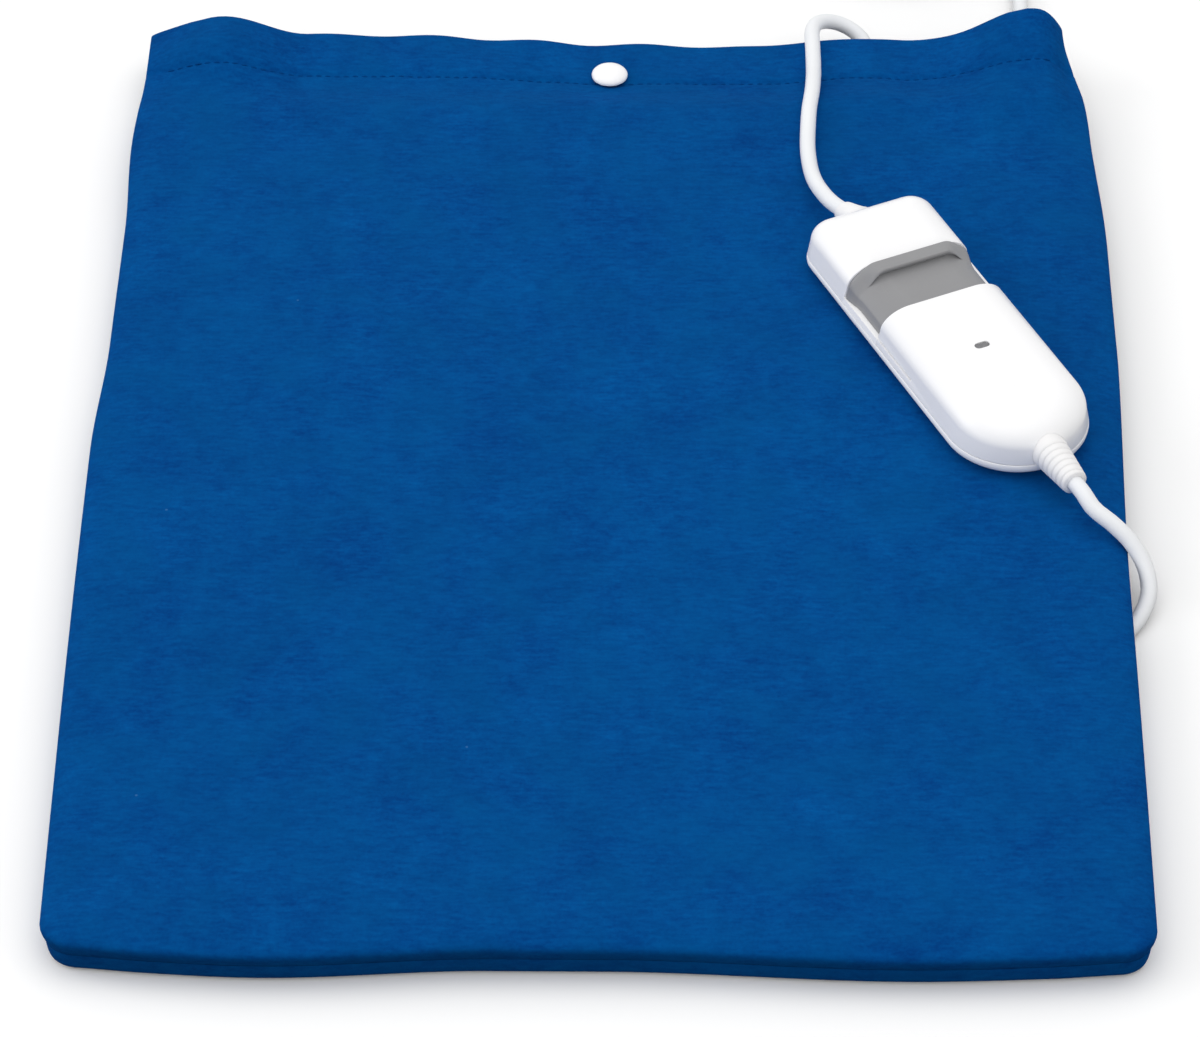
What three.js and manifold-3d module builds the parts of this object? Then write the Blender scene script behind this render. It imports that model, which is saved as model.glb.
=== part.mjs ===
// Heating pad in a washable snap-closed cover, with a corded slide-switch controller lying on it.
// Millimetres, +Z up, +Y toward the cover's open end. Origin: centre of the cover's underside.
import * as THREE from "three";
import { mergeVertices } from "three/addons/utils/BufferGeometryUtils.js";
import Module from "manifold-3d";

const wasm = await Module();
wasm.setup();

// Clearance between pieces that touch or run on each other.
const fit = 0.3;

// Cover: a fabric bag sewn on three sides, hemmed at its mouth.
const coverWidth = 302;
const coverLength = 412;
const sideBulge = 2;
const cornerRadius = 14;
const fabric = 1.2;
const seamHeight = 6.8;
const edgeRound = 4;
const hemDepth = 23.3;
const mouthGap = 3.4;
const hemClearance = 2;
const hemSlope = 17;

// The empty end of the cover curls up at its two far corners and stands open over the cord.
const rightCurl = 15.5;
const rightCurlSpan = 50;
const rightCurlInset = 16;
const leftRise = 3.5;
const leftRiseInset = 131;
const leftRiseSpan = 50;
const leftWave = 8;
const leftWaveInset = 24;
const leftWaveHalf = 26;
const lowerCurlShare = 0.8;
const cordLift = 3;
const cordLiftHalf = 36;

// The right flank is propped off the floor by the mains cord that runs under it.
const propWidth = 42;
const propRamp = 10;
const propLead = 126.7;
const propStartRamp = 14;

// Snap fastener.
const snapInset = 17.5;
const snapCapRadius = 6.2;
const snapDome = 2;
const snapRimShare = 0.8;
const snapFlatShare = 0.45;
const snapPostRadius = 1.3;
const snapSocketRadius = 5.4;
const snapSocketWall = 0.7;
const snapKnobRadius = 2.7;
const snapKnobHeight = 0.9;
const snapFlange = 0.6;
const snapBackThickness = 1.4;

// Inner pad: two waddings with the heating wire between them.
const innerMargin = 17;
const innerEndGap = 16.2;
const innerCorner = 20;
const lowerWadding = 6.5;
const upperWadding = 1.8;
const wireDiameter = 2;
const wireRuns = 10;
const wireSideMargin = 17;
const wireEndMargin = 26;
const returnGap = 7;
const cutoutLength = 16;
const cutoutWidth = 6;
const cutoutHeight = 3.6;
const crimpLength = 9;
const crimpRadius = 1.7;
const glandWidth = 26;
const glandDepth = 12;
const glandHeight = 6.2;
const glandInset = 67;
const leadSpacing = 8;

// Controller.
const controllerInset = 45.1;
const controllerBack = 162.9;
const controllerTurn = THREE.MathUtils.degToRad(-64.5);
const caseLength = 123.6;
const caseWidth = 45.2;
const caseHeight = 17;
const caseCorner = 8;
const caseFoot = 6;
const caseFootRise = 4;
const caseLean = 1.6;
const caseEndLean = 0.3;
const caseShoulder = 10;
const caseShoulderRise = 7;
const caseWall = 2;
const partingHeight = 5;
const hoodWall = 1.4;
const hoodStart = 53.4;
const hoodFootWidth = 5;
const sliderWall = 1.3;
const sliderStart = 31.3;
const sliderLength = 27;
const sliderTravel = 13.5;
const ridgeLength = 5.8;
const ridgeWidth = 29;
const ridgeProud = 0.7;
const stemLength = 6;
const stemWidth = 4;
const boardEndRoom = 64;
const boardMargin = 1.45;
const boardThickness = 1.6;
const boardStandoff = 2.5;
const carriageLength = 12;
const carriageWidth = 11;
const railWidth = 2;
const fuseRadius = 2;
const fuseGap = 0.05;
const contactWidth = 3;
const contactThickness = 0.5;
const screwInset = 17;
const screwSpread = 9.5;
const screwRadius = 1.4;
const screwHeadRadius = 2.6;
const screwHeadHeight = 1.8;
const bossRadius = 3.4;
const lampRadius = 1.5;
const windowLength = 2.4;
const windowWidth = 4.6;
const lampInset = 44.1;

// Cords, strain reliefs, coil and plug.
const cordDiameter = 5;
const padReliefLength = 6;
const padAxisDrop = 0.5;
const padReliefRadius = 4.6;
const mainsReliefLength = 15;
const mainsReliefBase = 5.6;
const mainsReliefTip = 4;
const reliefRibs = 6;
const reliefFlange = 2;
const reliefLip = 0.6;
const coilInnerRadius = 20;
const coilPitch = 5.6;
const coilTurns = 7.25;
const tieThickness = 0.8;
const tieWidth = 8;
const plugLength = 35;
const plugWidth = 35;
const plugNose = 26;
const plugThickness = 14;
const plugReliefLength = 20;
const plugReliefRadius = 4.4;
const pinRadius = 2;
const pinLength = 19;
const pinSpacing = 18.6;

// Levels and places that follow from those sizes.
const halfWidth = coverWidth / 2;
const halfLength = coverLength / 2;
const seamY = halfLength - hemDepth;
const innerEndY = seamY - innerEndGap;
const waddingBottom = fabric + fit;
const waddingTop = waddingBottom + lowerWadding;
const wireZ = waddingTop + fit + wireDiameter / 2;
const upperBottom = wireZ + wireDiameter / 2 + fit;
const upperTop = upperBottom + upperWadding;
const padTop = upperTop + 2 * fit + fabric;
const hem = 2 * fabric;
const hemTop = hemClearance + 2 * hem + mouthGap;
const cordRadius = cordDiameter / 2;
const propHeight = cordDiameter + 3 * fit;
const controllerX = halfWidth - controllerInset;
const controllerY = halfLength - controllerBack;
const controllerZ = padTop + fit;
const propStart = controllerY - propLead;
const glandX = halfWidth - glandInset;

// Materials.
const finish = (color, roughness, metalness = 0) =>
  new THREE.MeshStandardMaterial({ color, roughness, metalness });
const blueFabric = finish(0x00488c, 0.95);
const whiteFelt = finish(0xe9e6dd, 0.95);
const whitePlastic = finish(0xf2f2f2, 0.35);
const greyPlastic = finish(0x8c8c8e, 0.45);
const cordVinyl = finish(0xf0f0ef, 0.5);
const darkPlastic = finish(0x2b2b2d, 0.6);
const boardGreen = finish(0x2f6b43, 0.6);
const brass = finish(0xc8a24a, 0.35, 1);
const steel = finish(0xb9bbbd, 0.3, 1);
const brownWire = finish(0x6b4026, 0.6);
const blueWire = finish(0x2e5d9f, 0.6);
const clearWindow = finish(0xa9abad, 0.25);
const redLamp = finish(0xc03328, 0.3);

const object = new THREE.Group();
const controller = new THREE.Group();
controller.position.set(controllerX, controllerY, controllerZ);
controller.rotation.z = controllerTurn;
object.add(controller);

function piece(group, name, geometry, material, x = 0, y = 0, z = 0) {
  const mesh = new THREE.Mesh(geometry, material);
  mesh.name = name;
  mesh.position.set(x, y, z);
  group.add(mesh);
  return mesh;
}

// Joining and cutting closed meshes.
function solid(geometry) {
  const bare = geometry.clone();
  bare.deleteAttribute("normal");
  bare.deleteAttribute("uv");
  const merged = mergeVertices(bare, 1e-4);
  return new wasm.Manifold(
    new wasm.Mesh({
      numProp: 3,
      vertProperties: new Float32Array(merged.attributes.position.array),
      triVerts: new Uint32Array(merged.index.array),
    }),
  );
}

function shape3d(made) {
  const mesh = made.getMesh();
  return new THREE.BufferGeometry()
    .setAttribute("position", new THREE.BufferAttribute(new Float32Array(mesh.vertProperties), 3))
    .setIndex(new THREE.BufferAttribute(new Uint32Array(mesh.triVerts), 1));
}

const join = (...parts) => shape3d(parts.map(solid).reduce((a, b) => a.add(b)));
const cut = (from, ...tools) => shape3d(tools.map(solid).reduce((a, b) => a.subtract(b), solid(from)));
const overlap = (a, b) => shape3d(solid(a).intersect(solid(b)));

// Basic shapes, each standing on z = 0 unless a base height is given.
function block(length, width, height, x = 0, y = 0, z = 0) {
  return new THREE.BoxGeometry(length, width, height).translate(x, y, z + height / 2);
}

function rod(radius, height, x = 0, y = 0, z = 0, sides = 10) {
  return new THREE.CylinderGeometry(radius, radius, height, sides)
    .rotateX(Math.PI / 2)
    .translate(x, y, z + height / 2);
}

function turned(profile, sides = 14) {
  const points = profile.map(([radius, height]) => new THREE.Vector2(radius, height));
  return new THREE.LatheGeometry(points, sides).rotateX(Math.PI / 2);
}

function tube(points, radius, sides, stepLength) {
  const path = new THREE.CatmullRomCurve3(points.map((p) => new THREE.Vector3(...p)), false, "centripetal");
  const section = new THREE.Shape();
  for (let side = 0; side < sides; side += 1) {
    const angle = (2 * Math.PI * side) / sides;
    const corner = [radius * Math.cos(angle), radius * Math.sin(angle)];
    if (side === 0) section.moveTo(...corner);
    else section.lineTo(...corner);
  }
  const steps = Math.max(2, Math.round(path.getLength() / stepLength));
  return new THREE.ExtrudeGeometry(section, { steps, extrudePath: path, bevelEnabled: false });
}

const clamp = (t) => Math.min(1, Math.max(0, t));
const smooth = (t) => clamp(t) ** 2 * (3 - 2 * clamp(t));
const hump = (t) => smooth(1 - Math.abs(t));
const blend = (a, b, t) => a + (b - a) * t;

// A closed sheet on a grid of x and y lines, between an upper and a lower surface.
// place() moves a grid point to its plan position; the surfaces are read there.
function sheet(xs, ys, place, upper, lower) {
  const columns = xs.length;
  const rows = ys.length;
  const positions = [];
  const faces = [];
  for (const surface of [upper, lower]) {
    for (const y of ys) {
      for (const x of xs) {
        const [px, py] = place(x, y);
        positions.push(px, py, surface(px, py, x, y));
      }
    }
  }
  const at = (layer, column, row) => layer * columns * rows + row * columns + column;
  const quad = (a, b, c, d) => faces.push(a, b, c, a, c, d);
  for (let row = 0; row + 1 < rows; row += 1) {
    for (let column = 0; column + 1 < columns; column += 1) {
      quad(at(0, column, row), at(0, column + 1, row), at(0, column + 1, row + 1), at(0, column, row + 1));
      quad(at(1, column + 1, row + 1), at(1, column + 1, row), at(1, column, row), at(1, column, row + 1));
    }
  }
  for (let column = 0; column + 1 < columns; column += 1) {
    quad(at(1, column, 0), at(1, column + 1, 0), at(0, column + 1, 0), at(0, column, 0));
    const end = rows - 1;
    quad(at(0, column, end), at(0, column + 1, end), at(1, column + 1, end), at(1, column, end));
  }
  for (let row = 0; row + 1 < rows; row += 1) {
    quad(at(0, 0, row), at(0, 0, row + 1), at(1, 0, row + 1), at(1, 0, row));
    const side = columns - 1;
    quad(at(1, side, row), at(1, side, row + 1), at(0, side, row + 1), at(0, side, row));
  }
  return new THREE.BufferGeometry()
    .setAttribute("position", new THREE.Float32BufferAttribute(positions, 3))
    .setIndex(faces);
}

// Grid lines from one value to another, close together at the ends that are asked for.
function lines(from, to, pitch, fineStart, fineEnd) {
  const edge = [0, 1, 3, 7, 15];
  const start = fineStart ? edge.map((d) => from + d) : [from];
  const end = fineEnd ? edge.map((d) => to - d).reverse() : [to];
  const first = start[start.length - 1];
  const last = end[0];
  const count = Math.max(1, Math.round((last - first) / pitch));
  const between = [];
  for (let i = 1; i < count; i += 1) between.push(first + ((last - first) * i) / count);
  return [...start, ...between, ...end];
}

const withLines = (base, extra) => [...new Set([...base, ...extra])].sort((a, b) => a - b);

// Rounds the corners of a rectangle's plan: the square of each rounded corner is pressed into a quarter disc.
function roundedPlan(x0, x1, y0, y1, radius, farCornersToo) {
  return (x, y) => {
    const insideX = clamp((Math.abs(x - (x0 + x1) / 2) - (x1 - x0) / 2 + radius) / radius);
    const nearY = clamp((y0 + radius - y) / radius);
    const farY = farCornersToo ? clamp((y - y1 + radius) / radius) : 0;
    const insideY = Math.max(nearY, farY);
    if (insideX === 0 || insideY === 0) return [x, y];
    const press = Math.max(insideX, insideY) / Math.hypot(insideX, insideY);
    const pull = (share) => share * radius * (1 - press);
    const towardX = x > (x0 + x1) / 2 ? -1 : 1;
    const towardY = nearY > 0 ? 1 : -1;
    return [x + towardX * pull(insideX), y + towardY * pull(insideY)];
  };
}

// Cover. Its sides bow out a little between the corners.
const coverPlan = roundedPlan(-halfWidth, halfWidth, -halfLength, halfLength, cornerRadius, false);
function coverPlace(x, y) {
  const [px, py] = coverPlan(x, y);
  const bow = sideBulge * Math.cos((Math.PI * py) / coverLength);
  return [px + bow * Math.sign(px) * (px / halfWidth) ** 8, py];
}

// Share of the full height at a grid point, from none at the sewn edge to all a little way in.
function fullness(x, y) {
  const toEdge = Math.min(halfWidth - Math.abs(x), y + halfLength);
  return 1 - Math.exp(-toEdge / edgeRound);
}

const hemFall = (y) => smooth((y - innerEndY) / hemSlope);

function curl(x, y) {
  const right = rightCurl * smooth((x - halfWidth + rightCurlInset + rightCurlSpan) / rightCurlSpan);
  const left = leftRise * smooth((leftRiseInset - halfWidth - x) / leftRiseSpan);
  const wave = leftWave * hump((x + halfWidth - leftWaveInset) / leftWaveHalf);
  return (right + left + wave) * smooth((y - innerEndY) / (halfLength - innerEndY));
}

const cordLiftLead = 6;
const overCord = (x, y) =>
  cordLift * hump((x - glandX) / cordLiftHalf) * smooth((y - innerEndY + cordLiftLead) / hemSlope);
const seamAt = (x, y) => seamHeight + ((1 + lowerCurlShare) / 2) * curl(x, y);

function prop(x, y) {
  const across = clamp((x - halfWidth + propWidth + propRamp) / propRamp);
  const along = clamp((y - propStart + propStartRamp) / propStartRamp);
  return propHeight * across * along;
}

function coverTop(thickness) {
  return (x, y, gridX, gridY) => {
    const full = blend(padTop, hemTop, hemFall(y)) + curl(x, y) + overCord(x, y);
    return blend(seamAt(x, y) + fit / 2 + thickness, full, fullness(gridX, gridY));
  };
}

function coverUnderside(thickness) {
  return (x, y, gridX, gridY) => {
    const propped = prop(gridX, gridY);
    const clear = hemClearance * hemFall(y) * (1 - propped / propHeight);
    const full = propped + clear + lowerCurlShare * curl(x, y);
    return blend(seamAt(x, y) - fit / 2 - thickness, full, fullness(gridX, gridY));
  };
}

const raised = (surface, by) => (x, y, gridX, gridY) => surface(x, y, gridX, gridY) + by;

const coverPitch = 36;
const curlStartX = halfWidth - rightCurlInset - rightCurlSpan;
const coverXs = withLines(lines(-halfWidth, halfWidth, coverPitch, true, true), [
  leftWaveInset - halfWidth,
  curlStartX + 2,
  curlStartX + 0.7 * rightCurlSpan,
]);
const panelYs = lines(-halfLength, seamY - fit, coverPitch, true, false);
const snapY = halfLength - snapInset;
const farYs = [innerEndY, (innerEndY + seamY) / 2, snapY - snapCapRadius - fit];
const hemYs = lines(seamY, halfLength, hemDepth / 4, false, false);
const propXs = [halfWidth - propWidth - propRamp, halfWidth - propWidth];
const propYs = [propStart - propStartRamp, propStart];
const panelTop = coverTop(fabric);
const panelUnderside = coverUnderside(fabric);
const hemUpper = coverTop(hem);
const hemLower = coverUnderside(hem);
piece(
  object,
  "cover_upper_panel",
  sheet(coverXs, withLines(panelYs, farYs), coverPlace, panelTop, raised(panelTop, -fabric)),
  blueFabric,
);
piece(
  object,
  "cover_lower_panel",
  sheet(
    withLines(coverXs, propXs),
    withLines(panelYs, [...farYs, ...propYs]),
    coverPlace,
    raised(panelUnderside, fabric),
    panelUnderside,
  ),
  blueFabric,
);
const postHole = rod(snapPostRadius + fit, 4 * hemTop, 0, snapY, -hemTop);
piece(
  object,
  "cover_upper_hem",
  cut(sheet(coverXs, hemYs, coverPlace, hemUpper, raised(hemUpper, -hem)), postHole),
  blueFabric,
);
piece(
  object,
  "cover_lower_hem",
  cut(sheet(coverXs, hemYs, coverPlace, raised(hemLower, hem), hemLower), postHole),
  blueFabric,
);

// Snap fastener: the cap's post holds the socket under the upper hem, the back cap's post holds the stud.
const upperHemUnder = hemTop - hem;
const lowerHemTop = hemClearance + hem;
const studBase = lowerHemTop + fit;
const socketTop = upperHemUnder - fit;
const socketBottom = studBase + snapFlange + fit;
const capBase = hemTop + fit;
const backTop = hemClearance - fit;
piece(
  object,
  "snap_cap",
  turned([
    [0, socketTop - snapSocketWall],
    [snapPostRadius, socketTop - snapSocketWall],
    [snapPostRadius, capBase],
    [snapCapRadius, capBase],
    [snapCapRadius, capBase + snapDome / 3],
    [snapCapRadius * snapRimShare, capBase + snapDome * snapRimShare],
    [snapCapRadius * snapFlatShare, capBase + snapDome],
    [0, capBase + snapDome],
  ]),
  whitePlastic,
  0,
  snapY,
);
piece(
  object,
  "snap_socket",
  turned([
    [snapKnobRadius + fit, socketBottom],
    [snapSocketRadius, socketBottom],
    [snapSocketRadius, socketTop],
    [snapPostRadius + fit, socketTop],
    [snapPostRadius + fit, socketTop - snapSocketWall],
    [snapKnobRadius + fit, socketTop - snapSocketWall],
    [snapKnobRadius + fit, socketBottom],
  ]),
  whitePlastic,
  0,
  snapY,
);
piece(
  object,
  "snap_stud",
  turned([
    [snapPostRadius + fit, studBase],
    [snapSocketRadius, studBase],
    [snapSocketRadius, studBase + snapFlange],
    [snapKnobRadius, studBase + snapFlange],
    [snapKnobRadius, studBase + snapFlange + snapKnobHeight],
    [snapPostRadius + fit, studBase + snapFlange + snapKnobHeight],
    [snapPostRadius + fit, studBase],
  ]),
  whitePlastic,
  0,
  snapY,
);
piece(
  object,
  "snap_back_cap",
  turned([
    [0, backTop - snapBackThickness],
    [snapCapRadius * snapRimShare, backTop - snapBackThickness],
    [snapCapRadius, backTop - snapBackThickness / 2],
    [snapCapRadius, backTop],
    [snapPostRadius, backTop],
    [snapPostRadius, studBase + snapFlange + snapKnobHeight],
    [0, studBase + snapFlange + snapKnobHeight],
  ]),
  whitePlastic,
  0,
  snapY,
);

// Inner pad. The lower wadding is squeezed thin over the propped flank.
const innerHalf = halfWidth - innerMargin;
const innerStart = -halfLength + innerMargin;
const innerPlan = roundedPlan(-innerHalf, innerHalf, innerStart, innerEndY, innerCorner, true);
const wirePitch = (2 * (innerHalf - wireSideMargin)) / (wireRuns - 1);
const innerPitch = 60;
const innerXs = withLines(lines(-innerHalf, innerHalf, innerPitch, false, false), [
  -innerHalf + innerCorner,
  innerHalf - innerCorner,
  ...propXs,
]);
const innerYs = withLines(lines(innerStart, innerEndY, innerPitch, false, false), [
  innerStart + innerCorner,
  innerEndY - innerCorner,
  ...propYs,
]);
const returnY = innerEndY - wireEndMargin + wirePitch / 2 + returnGap;
const wireStartX = glandX - leadSpacing / 2 - cutoutLength - 6;
const cutoutX = wireStartX + fit + cutoutLength / 2;
const cutoutBottom = wireZ - cutoutHeight + wireDiameter / 2;
const cutoutPocket = block(
  cutoutLength + 2 * fit,
  cutoutWidth + 2 * fit,
  cutoutHeight,
  cutoutX,
  returnY,
  cutoutBottom - fit,
);
piece(
  object,
  "lower_wadding",
  cut(
    sheet(
      innerXs,
      innerYs,
      innerPlan,
      () => waddingTop,
      (x, y, gridX, gridY) => waddingBottom + prop(gridX, gridY),
    ),
    cutoutPocket,
  ),
  whiteFelt,
);
const innerLength = innerEndY - innerStart;
const upperPlan = new THREE.Shape();
const cornerAt = (x, y, start) => upperPlan.absarc(x, y, innerCorner, start, start + Math.PI / 2, false);
cornerAt(innerHalf - innerCorner, -innerLength / 2 + innerCorner, -Math.PI / 2);
cornerAt(innerHalf - innerCorner, innerLength / 2 - innerCorner, 0);
cornerAt(-innerHalf + innerCorner, innerLength / 2 - innerCorner, Math.PI / 2);
cornerAt(-innerHalf + innerCorner, -innerLength / 2 + innerCorner, Math.PI);
upperPlan.closePath();
piece(
  object,
  "upper_wadding",
  new THREE.ExtrudeGeometry(upperPlan, {
    depth: upperWadding,
    bevelEnabled: false,
    curveSegments: 5,
  }).translate(0, (innerStart + innerEndY) / 2, upperBottom),
  whiteFelt,
);

// Heating wire: a serpentine of straight runs joined by half turns, both ends led to the gland.
const firstRunX = (-(wireRuns - 1) / 2) * wirePitch;
const wireLow = innerStart + wireEndMargin;
const wireHigh = innerEndY - wireEndMargin;
const bend = wirePitch / 2;
const wirePath = new THREE.CurvePath();
const wirePoint = (x, y) => new THREE.Vector3(x, y, wireZ);
const straight = (x0, y0, x1, y1) => wirePath.add(new THREE.LineCurve3(wirePoint(x0, y0), wirePoint(x1, y1)));
function turn(x, y, fromAngle, sweep, radius) {
  const steps = 4;
  const arc = (i) => fromAngle + (sweep * i) / steps;
  const on = (i) => [x + radius * Math.cos(arc(i)), y + radius * Math.sin(arc(i))];
  for (let i = 0; i < steps; i += 1) straight(...on(i), ...on(i + 1));
}
const cornerBend = returnY - wireHigh;
straight(wireStartX, returnY, firstRunX + cornerBend, returnY);
turn(firstRunX + cornerBend, wireHigh, Math.PI / 2, Math.PI / 2, cornerBend);
for (let run = 0; run < wireRuns; run += 1) {
  const x = firstRunX + run * wirePitch;
  const down = run % 2 === 0;
  straight(x, down ? wireHigh : wireLow, x, down ? wireLow : wireHigh);
  if (run + 1 === wireRuns) break;
  if (down) turn(x + bend, wireLow, Math.PI, Math.PI, bend);
  else turn(x + bend, wireHigh, Math.PI, -Math.PI, bend);
}
const lastRunX = firstRunX + (wireRuns - 1) * wirePitch;
const wireEndX = glandX + leadSpacing / 2 + crimpLength + 6;
turn(lastRunX - bend, wireHigh, 0, Math.PI / 2, bend);
straight(lastRunX - bend, wireHigh + bend, Math.min(wireEndX, lastRunX - bend - 1), wireHigh + bend);
const wireCorners = [wirePath.curves[0].v1, ...wirePath.curves.map((curve) => curve.v2)];

// A thin wire along straight stretches: one ring of the section at each corner, capped at both ends.
function wire(corners, radius, sides) {
  const rings = corners.map((corner, i) => {
    const before = corners[Math.max(0, i - 1)];
    const after = corners[Math.min(corners.length - 1, i + 1)];
    const into = corner.clone().sub(before).normalize();
    const out = after.clone().sub(corner).normalize();
    const along = into.add(out).normalize();
    const side = new THREE.Vector3(-along.y, along.x, 0).normalize();
    const up = new THREE.Vector3().crossVectors(along, side);
    return Array.from({ length: sides }, (unused, k) => {
      const angle = (2 * Math.PI * k) / sides;
      return corner
        .clone()
        .addScaledVector(side, radius * Math.cos(angle))
        .addScaledVector(up, radius * Math.sin(angle));
    });
  });
  const positions = [...rings.flat(), corners[0], corners[corners.length - 1]].flatMap((p) => [p.x, p.y, p.z]);
  const faces = [];
  const startCap = rings.length * sides;
  for (let k = 0; k < sides; k += 1) {
    const next = (k + 1) % sides;
    for (let i = 0; i + 1 < rings.length; i += 1) {
      const a = i * sides + k;
      const b = i * sides + next;
      faces.push(a, b, b + sides, a, b + sides, a + sides);
    }
    faces.push(startCap, next, k);
    const last = (rings.length - 1) * sides;
    faces.push(startCap + 1, last + k, last + next);
  }
  return new THREE.BufferGeometry()
    .setAttribute("position", new THREE.Float32BufferAttribute(positions, 3))
    .setIndex(faces);
}
piece(object, "heating_wire", wire(wireCorners, wireDiameter / 2, 6), darkPlastic);
const cutout = block(cutoutLength, cutoutWidth, cutoutHeight, cutoutX, returnY, cutoutBottom);
piece(object, "thermal_cutout", cutout, darkPlastic);

// Gland sewn to the end of the inner pad; two leads run from it to the cut-out and to the crimp.
const glandZ = lowerHemTop + 2 * fit + cordRadius;
const glandNear = innerEndY + fit;
const crimpY = wireHigh + bend;
const crimpEnd = Math.min(wireEndX, lastRunX - bend - 1) - fit;
const gland = block(
  glandWidth,
  glandDepth,
  glandHeight,
  glandX,
  glandNear + glandDepth / 2,
  wireZ + wireDiameter / 2 + fit - glandHeight,
);
piece(object, "pad_gland", gland, cordVinyl);
const crimp = new THREE.CylinderGeometry(crimpRadius, crimpRadius, crimpLength, 12)
  .rotateZ(Math.PI / 2)
  .translate(crimpEnd - crimpLength / 2, crimpY, wireZ);
const crimpPocket = block(
  crimpLength + 2 * fit,
  2 * (crimpRadius + fit),
  2 * (crimpRadius + fit),
  crimpEnd - crimpLength / 2,
  crimpY,
  wireZ - crimpRadius - fit,
);
piece(object, "wire_crimp", crimp, brass);
for (const name of ["lower_wadding", "upper_wadding"]) {
  const wadding = object.getObjectByName(name);
  wadding.geometry = cut(wadding.geometry, crimpPocket, cutoutPocket);
}
const leadAt = (x, y) => new THREE.Vector3(x, y, wireZ);
const liveX = glandX - leadSpacing / 2;
const neutralX = glandX + leadSpacing / 2;
const leadTop = glandNear - fit;
piece(
  object,
  "pad_lead_live",
  wire(
    [
      leadAt(liveX, leadTop),
      leadAt(liveX, returnY + 2),
      leadAt(liveX - 2, returnY),
      leadAt(cutoutX + cutoutLength / 2 + fit, returnY),
    ],
    wireDiameter / 2,
    6,
  ),
  brownWire,
);
piece(
  object,
  "pad_lead_neutral",
  wire(
    [
      leadAt(neutralX, leadTop),
      leadAt(neutralX, crimpY + 2),
      leadAt(neutralX + 2, crimpY),
      leadAt(crimpEnd - crimpLength - fit, crimpY),
    ],
    wireDiameter / 2,
    6,
  ),
  blueWire,
);

// Controller case: square at the pad end, half round at the mains end, its walls leaning in toward the top.
function caseOutline(inset, lean) {
  const long = caseLength / 2 - inset - lean * caseEndLean;
  const wide = caseWidth / 2 - inset - lean;
  const corner = Math.max(caseCorner - inset - lean, 1);
  const arc = (x, y, radius, from, sweep, steps) =>
    Array.from({ length: steps + 1 }, (unused, i) => [
      x + radius * Math.cos(from + (sweep * i) / steps),
      y + radius * Math.sin(from + (sweep * i) / steps),
    ]);
  return [
    ...arc(-long + corner, -wide + corner, corner, Math.PI, Math.PI / 2, 4),
    ...arc(long - wide, 0, wide, -Math.PI / 2, Math.PI, 12),
    ...arc(-long + corner, wide - corner, corner, Math.PI / 2, Math.PI / 2, 4),
  ];
}

// A closed body through outlines of equal count, from the lowest to the highest.
function loft(outlines, heights) {
  const count = outlines[0].length;
  const last = (outlines.length - 1) * count;
  const positions = outlines.flatMap((outline, level) => outline.flatMap(([x, y]) => [x, y, heights[level]]));
  const faces = [];
  for (let k = 0; k < count; k += 1) {
    const next = (k + 1) % count;
    for (let from = 0; from < last; from += count) {
      faces.push(from + k, from + next, from + count + next);
      faces.push(from + k, from + count + next, from + count + k);
    }
    if (k > 0 && next > 0) {
      faces.push(0, next, k);
      faces.push(last, last + k, last + next);
    }
  }
  return new THREE.BufferGeometry()
    .setAttribute("position", new THREE.Float32BufferAttribute(positions, 3))
    .setIndex(faces);
}

// The case's section as inset, lean and height: rounded foot, leaning wall, rounded shoulder.
const quarter = (steps) => Array.from({ length: steps + 1 }, (unused, i) => (i * Math.PI) / 2 / steps);
const caseSection = [
  ...quarter(2).map((a) => [caseFoot * (1 - Math.sin(a)), 0, caseFootRise * (1 - Math.cos(a))]),
  ...quarter(4).map((a) => [
    caseShoulder * (1 - Math.cos(a)),
    caseLean,
    caseHeight - caseShoulderRise * (1 - Math.sin(a)),
  ]),
];
const caseLevel = (inset, height) => inset + height * (1 - (2 * inset) / caseHeight);

function caseSlab(inset) {
  return loft(
    caseSection.map(([step, lean]) => caseOutline(inset + step, lean)),
    caseSection.map(([, , height]) => caseLevel(inset, height)),
  );
}

// How far in from the case's end the roof, at an inset, stands clear of a height.
function roofInset(inset, height) {
  const level = (height - inset) / (1 - (2 * inset) / caseHeight);
  const rise = clamp((level - caseHeight) / caseShoulderRise + 1);
  return inset + caseLean * caseEndLean + caseShoulder * (1 - Math.sqrt(1 - rise ** 2));
}

// The room inside the case at an inset, open below.
function caseRoom(inset) {
  const widest = caseOutline(inset, 0);
  return join(caseSlab(inset), loft([widest, widest], [0, caseLevel(inset, caseFootRise)]));
}

// The part of space along the case from one place to another, and from one height up.
function span(fromX, toX, fromZ, toZ) {
  return block(toX - fromX, 2 * caseWidth, toZ - fromZ, (fromX + toX) / 2, 0, fromZ);
}

const caseStart = -caseLength / 2;
const caseEnd = caseLength / 2;
const above = partingHeight + fit;
const skyHigh = 2 * caseHeight;
const sliderInset = hoodWall + fit;
const deckInset = sliderInset + sliderWall + fit;
const innerInset = deckInset + caseWall;
const sliderX = caseStart + sliderStart;
const deckX = sliderX - fit;
const hoodX = caseStart + hoodStart;
const hoodEnd = caseEnd + caseWall;
const boardWidth = caseWidth - 2 * (innerInset + boardMargin);
const boardLength = caseLength - boardEndRoom;
const boardBottom = caseWall + boardStandoff;
const boardTop = boardBottom + boardThickness;
const boardX = caseStart + screwInset + bossRadius + 2 * fit + boardLength / 2 + 2;
const deckTop = caseHeight - deckInset;
const deckUnder = caseHeight - innerInset;
const cordAxis = caseHeight / 2;
const padAxis = cordAxis - padAxisDrop;
const padSeat = roofInset(caseWall, padAxis + padReliefRadius + reliefLip + fit);
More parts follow.
